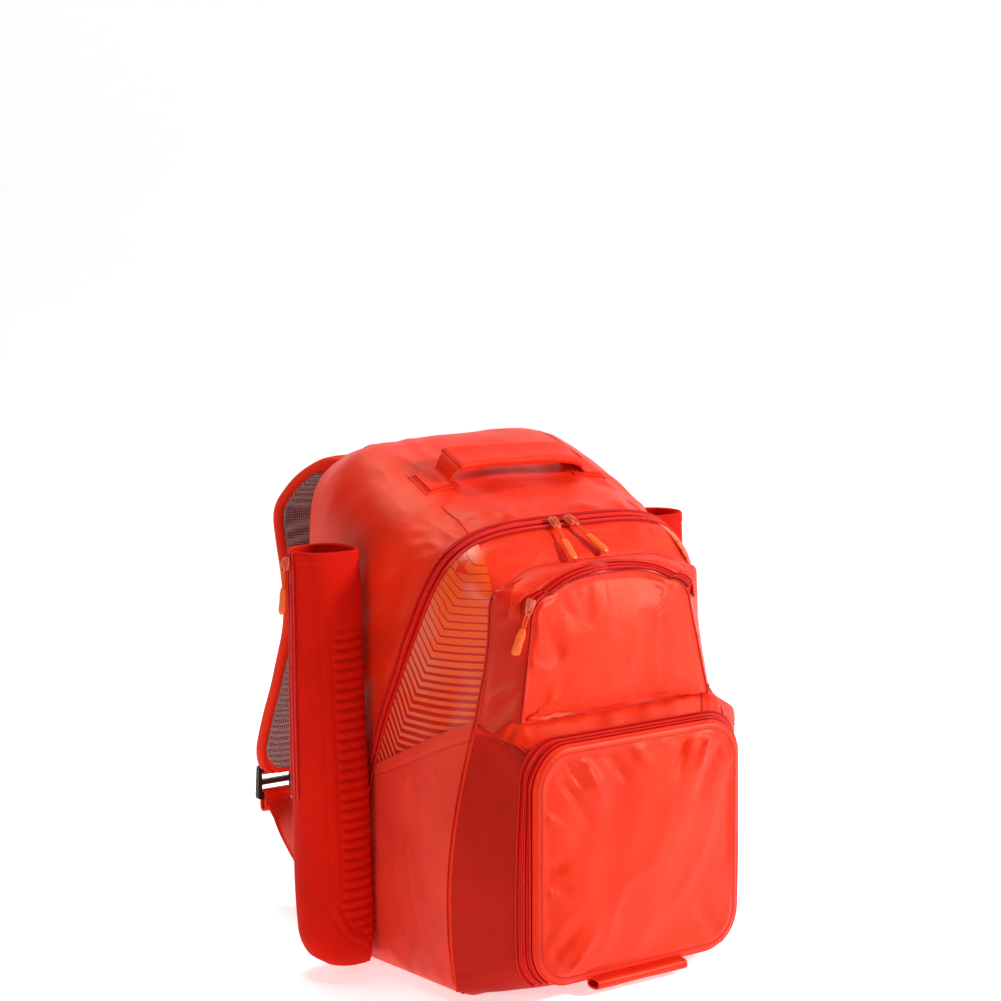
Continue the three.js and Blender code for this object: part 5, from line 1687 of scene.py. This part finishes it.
def strap_wing(sign, word):
    edge = BACK_DEPTH - BACK_EDGE_RADIUS
    thick = 2.4
    off = BACK_EDGE_RADIUS + SEAT + thick / 2
    turn = (math.pi / 2) * 0.7
    u = np.linspace(0, 1, 25)[None, :]
    out = np.linspace(0, 1, 45)[:, None]
    z0 = lerp(WING_TOP, WING_BOTTOM, u)
    reach = half_width(z0, edge) - BACK_EDGE_RADIUS + off * math.cos(turn)
    start = np.stack([-reach, np.full(u.shape, edge + off * math.sin(turn)), z0], -1)
    face = BUCKLE_Y - LOOP_ROOM - WEBBING_THICKNESS - SEAT - thick / 2
    end = np.stack([BUCKLE_X + lerp(0.45, -0.45, u) * WEBBING_WIDTH, np.full(u.shape, face),
                    BUCKLE_Z - BAR_REACH - lerp(0.5, 1, u) * LOOP_REACH], -1)
    fold = np.sin(math.pi * out) * np.sin(math.pi * u)
    grid = start + (end - start) * out[..., None]
    grid = grid + np.stack([-5 * fold, 0 * fold, -4 * np.sin(math.pi * out) + 0 * fold], -1)
    grid = grid + np.array([-1.0, 0.4, 0]) * (1.0 * folds(grid, 26, (0, 1, 0.6), 2.6, 71) * fold)[..., None]
    normals = grid_normals(grid, (0, 0, 100), False)
    # The upper and lower edges are folded over and sewn.
    hem = 0.8 * (smooth(0.17, 0.13, u) + smooth(0.88, 0.92, u)) + 0 * out
    over = grid + normals * (thick / 2 + hem)[..., None]
    under = grid - normals * (thick / 2 + hem * 0.4)[..., None]
    points = two_sided(over, under)
    add_piece(f"wing_cloth_{word}", points * (-sign, 1, 1), shell_faces(*grid.shape[:2], False),
              strap_cloth,
              [f"strap_wing_{word}"])
    parts = stitch_mesh(over[2:-2, 3], 0.2, (0, 0, 100)) + stitch_mesh(over[2:-2, 22], 0.2, (0, 0, 100))
    add_sewn(f"wing_stitches_{word}", parts, bright_thread, (-sign, 1, 1))


strap_wing(-1, "left")
strap_wing(1, "right")


# Carry handle: a folded grip on two webbing ends
def handle_path(count, drop):
    at = np.linspace(0, HANDLE[-1][0], count)
    across, lift, wide = table_row(HANDLE, at)
    x = across * HANDLE_HALF_SPAN
    base, normal = surface_at(x, np.full(count, float(HANDLE_SETBACK)))
    raised = np.clip(lift, 0, None) * (HANDLE_LIFT - drop)
    path = base + normal * (2 * SEAT + HANDLE_THICKNESS / 2 + raised)[:, None]
    side = unit(np.stack([0 * x, normal[:, 2], -normal[:, 1]], -1))
    up = unit(np.cross(unit(np.gradient(path, axis=0)), side))
    return across, path, side, up, wide


def carry_handle():
    across, path, side, up, wide = handle_path(170, HANDLE_DROP)
    sections = np.stack([rounded_section(w * HANDLE_WIDTH, HANDLE_THICKNESS, 6) for w in wide])
    webbing, webbing_faces = sweep_mesh(path, side, up, sections)
    # The grip is a folded cloth sleeve, wider than the webbing and cut square at its ends.
    chosen = np.flatnonzero((across > -0.83) & (across < 0.84) & (path[:, 2] > path[:, 2].max() - 24))
    line, line_side, line_up = path[chosen], side[chosen], up[chosen]
    turn = np.linspace(0, 2 * math.pi, 56, endpoint=False)
    c, q = np.cos(turn), np.sin(turn)
    u = GRIP_WIDTH / 2 * np.sign(c) * np.abs(c) ** 0.35
    v = GRIP_THICKNESS / 2 * np.sign(q) * np.abs(q) ** 0.6
    v = v - 0.9 * np.exp(-((u - 0.16 * GRIP_WIDTH) / 0.9) ** 2) * np.sign(v)
    v = v * (1 - 0.18 * np.cos(2 * math.pi * u / GRIP_WIDTH))
    grips = np.broadcast_to(np.stack([u, v], -1), (len(chosen), 56, 2)).copy()
    ends = np.minimum(np.arange(len(chosen)), np.arange(len(chosen))[::-1])
    grips[..., 1] *= (0.62 + 0.38 * smooth(0, 5, ends))[:, None]
    grips[..., 1] += 0.8 * noise_at(line[:, None] + u[None, :, None] * line_side[:, None], 22, 81)
    points, faces = sweep_mesh(line, line_side, line_up, grips)
    add_piece("handle_webbing", webbing, webbing_faces, webbing_cloth, ["carry_handle"], 40)
    add_piece("handle_grip", points, faces, webbing_cloth, (), 50)
    parts = []
    for edge in (-0.44, 0.44, 0.30):
        parts += stitch_mesh((line + line_side * GRIP_WIDTH * edge - line_up
                              * (GRIP_THICKNESS / 2 - 0.5))[3:-3], 0.2,
                             (0, -12, 300))
    add_sewn("handle_grip_stitches", parts, bright_thread)
    # Each end is sewn down on a patch with a boxed cross of stitches.
    for sign, word in ((-1, "left"), (1, "right")):
        u = np.linspace(-17, 21, 30)[:, None] * sign
        v = np.linspace(-15, 15, 20)[None, :]
        px = sign * 0.98 * HANDLE_HALF_SPAN + u + 0 * v
        py = HANDLE_SETBACK + v + 0 * u
        grid, _ = surface_at(px, py)
        add_band(f"handle_patch_{word}", grid, 1.5, BODY_CENTRE, webbing_cloth)
        corners = [(-14, -12), (18, -12), (18, 12), (-14, 12), (-14, -12), (18, 12), (18, -12), (-14, 12)]
        parts = []
        for (u0, v0), (u1, v1) in zip(corners[:-1], corners[1:]):
            t = np.linspace(0, 1, 24)
            sx = sign * (0.98 * HANDLE_HALF_SPAN + lerp(u0, u1, t))
            line, line_normal = surface_at(sx, HANDLE_SETBACK + lerp(v0, v1, t))
            parts += stitch_mesh(line + line_normal * 1.6, 0.2, (0, 0, 100))
        add_sewn(f"handle_stitches_{word}", parts, seam_thread)


carry_handle()


# The cloth tunnel under the lid's lower edge
def base_loop():
    length, height, depth, wall = 104, 10, 17, 1.6
    middle = np.array([0, LID_Y - depth / 6, LID_BOTTOM_HEIGHT - SEAT - height / 2])
    x = np.linspace(-length / 2, length / 2, 60)
    turn = np.linspace(0, 2 * math.pi, 40, endpoint=False)

    def oval(reach, rise):
        c, s = np.cos(turn), np.sin(turn)
        return np.stack([reach * np.sign(c) * np.abs(c) ** 0.8, rise * np.sign(s) * np.abs(s) ** 0.8], -1)

    outer_section = oval(depth / 2, height / 2)
    inner_section = oval(depth / 2 - wall, height / 2 - wall)
    sag = 0.9 * np.sin(np.linspace(0, 3 * math.pi, 60))
    outer = np.stack([np.stack([np.full(40, a), outer_section[:, 0], outer_section[:, 1] * (1 + 0.06 * s)],
                               -1)
                      for a, s in zip(x, sag)]) + middle
    inner = np.stack([np.stack([np.full(40, a), inner_section[:, 0], inner_section[:, 1]], -1)
                      for a in x]) + middle
    points = two_sided(outer, inner)
    add_piece("base_loop_cloth", points, shell_faces(60, 40, True), body_cloth, ["base_loop"])
    parts = []
    for end in (-1, 1):
        ring = np.stack([np.full(40, end * (length / 2 - 4)), outer_section[:, 0], outer_section[:, 1]],
                        -1) + middle
        parts += stitch_mesh(ring, 0.25, middle)
    add_sewn("base_loop_stitches", parts, bright_thread)


base_loop()

# Zip pulls: slider, wire loop, doubled cord and moulded tip
SLIDER_LENGTH = 11
SLIDER_HEIGHT = 5
CORD_LENGTH = 16
TIP_WIDTH = 9
TIP_THICKNESS = 4.6
PULL_LIFT = 2 * SEAT + 2.2 + SLIDER_HEIGHT / 2


def zip_pull(name, start, way, facing):
    start = np.asarray(start, float)
    along = unit(np.asarray(way, float))
    side = unit(np.cross(along, np.asarray(facing, float)))
    up = np.cross(side, along)
    if np.dot(up, facing) < 0:
        up = -up

    def strip(distances, widths, thicks, power=3.2, rise=0.0):
        path = start + np.asarray(distances, float)[:, None] * along + rise * up
        sections = np.stack([rounded_section(w, t, power, 20) for w, t in zip(widths, thicks)])
        frames = (np.broadcast_to(side, path.shape), np.broadcast_to(up, path.shape))
        return sweep_mesh(path, *frames, sections)

    def wire(profile, radius):
        path = start + np.array([a * along + b * side + c * up for a, b, c in profile])
        return tube_mesh(resampled(path, 0.8), radius, 8)

    body = strip([-0.6, 0, 1.2, 5, 9, 10.6, 11.2], [5.5, 7.4, 9, 8.6, 7.4, 6.6, 5],
                 [1.8, 2.4, 2.6, 2.6, 2.6, 2.2, 1.4],
                 4, -1.1)
    lid = strip([0.4, 1.4, 5, 8.6, 9.6], [4, 6.2, 6.6, 5.4, 3.6], [1.0, 1.7, 1.8, 1.7, 1.0], 3, 1.1)
    bridge = wire([(1.6, 0, 1.4), (2.4, 0, 2.9), (5, 0, 3.5), (7.6, 0, 2.9), (8.4, 0, 1.4)], 0.9)
    add_sewn(f"{name}_slider", [body, lid, bridge], pull_metal)
    turn = np.linspace(0, 2 * math.pi, 28)
    ring = [(8.6 + 5.4 * math.sin(t), 2.7 * math.cos(t), 2.4 - 0.5 * math.sin(t)) for t in turn]
    points, faces = wire(ring, 0.75)
    add_piece(f"{name}_ring", points, faces, pull_metal)
    tip_start = SLIDER_LENGTH + CORD_LENGTH
    parts = []
    for offset in (-1, 1):
        parts.append(wire([(12.6, 0.5 * offset, 1.9), (14.5, 1.35 * offset, 1.3), (20, 1.2 * offset, 0.5),
                           (tip_start + 1.5, 1.0 * offset, 0)], 0.95))
    parts.append(wire([(14.2, -1.4, 1.4), (13.0, -0.9, 1.8), (12.6, 0, 2.0), (13.0, 0.9, 1.8),
                       (14.2, 1.4, 1.4)], 0.95))
    add_sewn(f"{name}_cord", parts, pull_cord)
    far = tip_start + np.array([-0.5, 0.3, 1.6, 4, 7, 12, 17, 21, 23, 24])
    wide = TIP_WIDTH * np.array([0.42, 0.60, 0.74, 0.82, 0.92, 0.86, 0.94, 0.96, 0.74, 0.34])
    thick = TIP_THICKNESS * np.array([0.55, 0.76, 0.88, 0.96, 1.0, 0.92, 0.98, 0.96, 0.76, 0.4])
    tip = strip(far, wide, thick, 2.7)
    groove = strip(tip_start + np.array([9.0, 9.6, 14.4, 15.0]), [2.4, 4.4, 4.4, 2.4],
                   [TIP_THICKNESS, TIP_THICKNESS + 0.4, TIP_THICKNESS + 0.4, TIP_THICKNESS], 4)
    points, faces = joined([tip, groove])
    add_piece(f"{name}_tip", points, faces, pull_rubber, [name])


ZIP_TOP_Y = float(seam_depth(np.array(float(TOP_STEP))))
for name, across, end in (("main_pull_left", -0.13, -0.16), ("main_pull_right", -0.03, 0.12)):
    x = across * HALF_BODY
    start = np.array([x, ZIP_TOP_Y, float(top_height(np.array(x), np.array(ZIP_TOP_Y)))])
    foot = np.array([end * HALF_BODY, CORNER_Y, float(top_height(np.array(0.0),
                                                                 np.array(float(CORNER_Y))))])
    normal = top_normal(np.array(0.0), np.array((ZIP_TOP_Y + CORNER_Y) / 2))
    start = start + normal * (PULL_LIFT + 1.4)
    foot = foot + normal * (PULL_LIFT + 2.4)
    zip_pull(name, start, foot - start, normal)

upper_end = len(upper_ring(0)) - RING_TOP - 9
upper_at = beside_face(np.array([upper_end]), UPPER_ZIP_STANDOFF)[0]
upper_out = unit(np.array([-0.5, -1.0, 0.35]))
zip_pull("upper_pull", upper_at + upper_out * (PULL_LIFT + 2.2), (-0.30, 0.12, -1), upper_out)

for side, word in ((-1, "left"), (1, "right")):
    at = sleeve_point(np.array(0.985), np.array(SLEEVE_ZIP_TURN)) + (-PULL_LIFT, 0, 0)
    mirror = np.array([-side, 1, 1])
    zip_pull(f"sleeve_pull_{word}", at * mirror, np.array([-0.1, 0, -1]) * mirror,
             np.array([-1, 0, 0]) * mirror)


# Floor, backdrop and lights
FLOOR_GLOW = 0.56
WORLD_STRENGTH = 0.08
# Each light's name, place, aim, size and energy.
LIGHTS = [
    ("key", (2.1, -2.1, 1.7), (0, -0.05, 0.24), 0.6, 98),
    ("fill", (-2.6, -1.2, 1.3), (0, 0, 0.24), 0.7, 16),
    ("top", (-0.2, 0.4, 2.5), (0, 0, 0.3), 0.8, 27),
]


def studio():
    floor_cloth, shader = new_material("studio_floor", 0.9)
    _, colour = tone_and_fold_shade_noise(floor_cloth, (0.88, 0.88, 0.88), (0.90, 0.90, 0.90), 2)
    floor_cloth.node_tree.links.new(colour, shader.inputs["Base Color"])
    shader.inputs["Emission Color"].default_value = (1, 1, 1, 1)
    shader.inputs["Emission Strength"].default_value = FLOOR_GLOW
    mesh = bpy.data.meshes.new("floor")
    profile = [(-6.0, 0.0), (3.0, 0.0)]
    for turn in np.linspace(0, math.pi / 2, 16):
        profile.append((3.0 + 2.0 * math.sin(turn), 2.0 * (1 - math.cos(turn))))
    profile.append((5.0, 9.0))
    points, faces = [], []
    for y, z in profile:
        points += [(-9.0, y, z), (9.0, y, z)]
    for i in range(len(profile) - 1):
        faces.append((2 * i, 2 * i + 1, 2 * i + 3, 2 * i + 2))
    mesh.from_pydata(points, [], faces)
    mesh.polygons.foreach_set("use_smooth", [True] * len(faces))
    mesh.materials.append(floor_cloth)
    floor = bpy.data.objects.new("floor", mesh)
    floor.rotation_euler = (0, 0, math.radians(VIEW_TURN))
    bpy.context.scene.collection.objects.link(floor)

    for name, place, target, size, energy in LIGHTS:
        data = bpy.data.lights.new(name, "AREA")
        data.shape = "DISK"
        data.size = size
        data.energy = energy
        lamp = bpy.data.objects.new(name, data)
        lamp.location = place
        way = np.asarray(target, float) - np.asarray(place, float)
        flat = math.hypot(way[0], way[1])
        lamp.rotation_euler = (math.atan2(flat, -way[2]), 0, math.atan2(-way[0], way[1]))
        bpy.context.scene.collection.objects.link(lamp)

    world = bpy.data.worlds.new("studio")
    world.use_nodes = True
    world.node_tree.nodes["Background"].inputs["Color"].default_value = (1, 1, 1, 1)
    world.node_tree.nodes["Background"].inputs["Strength"].default_value = WORLD_STRENGTH
    bpy.context.scene.world = world
    bpy.context.scene.view_settings.view_transform = "Standard"


studio()
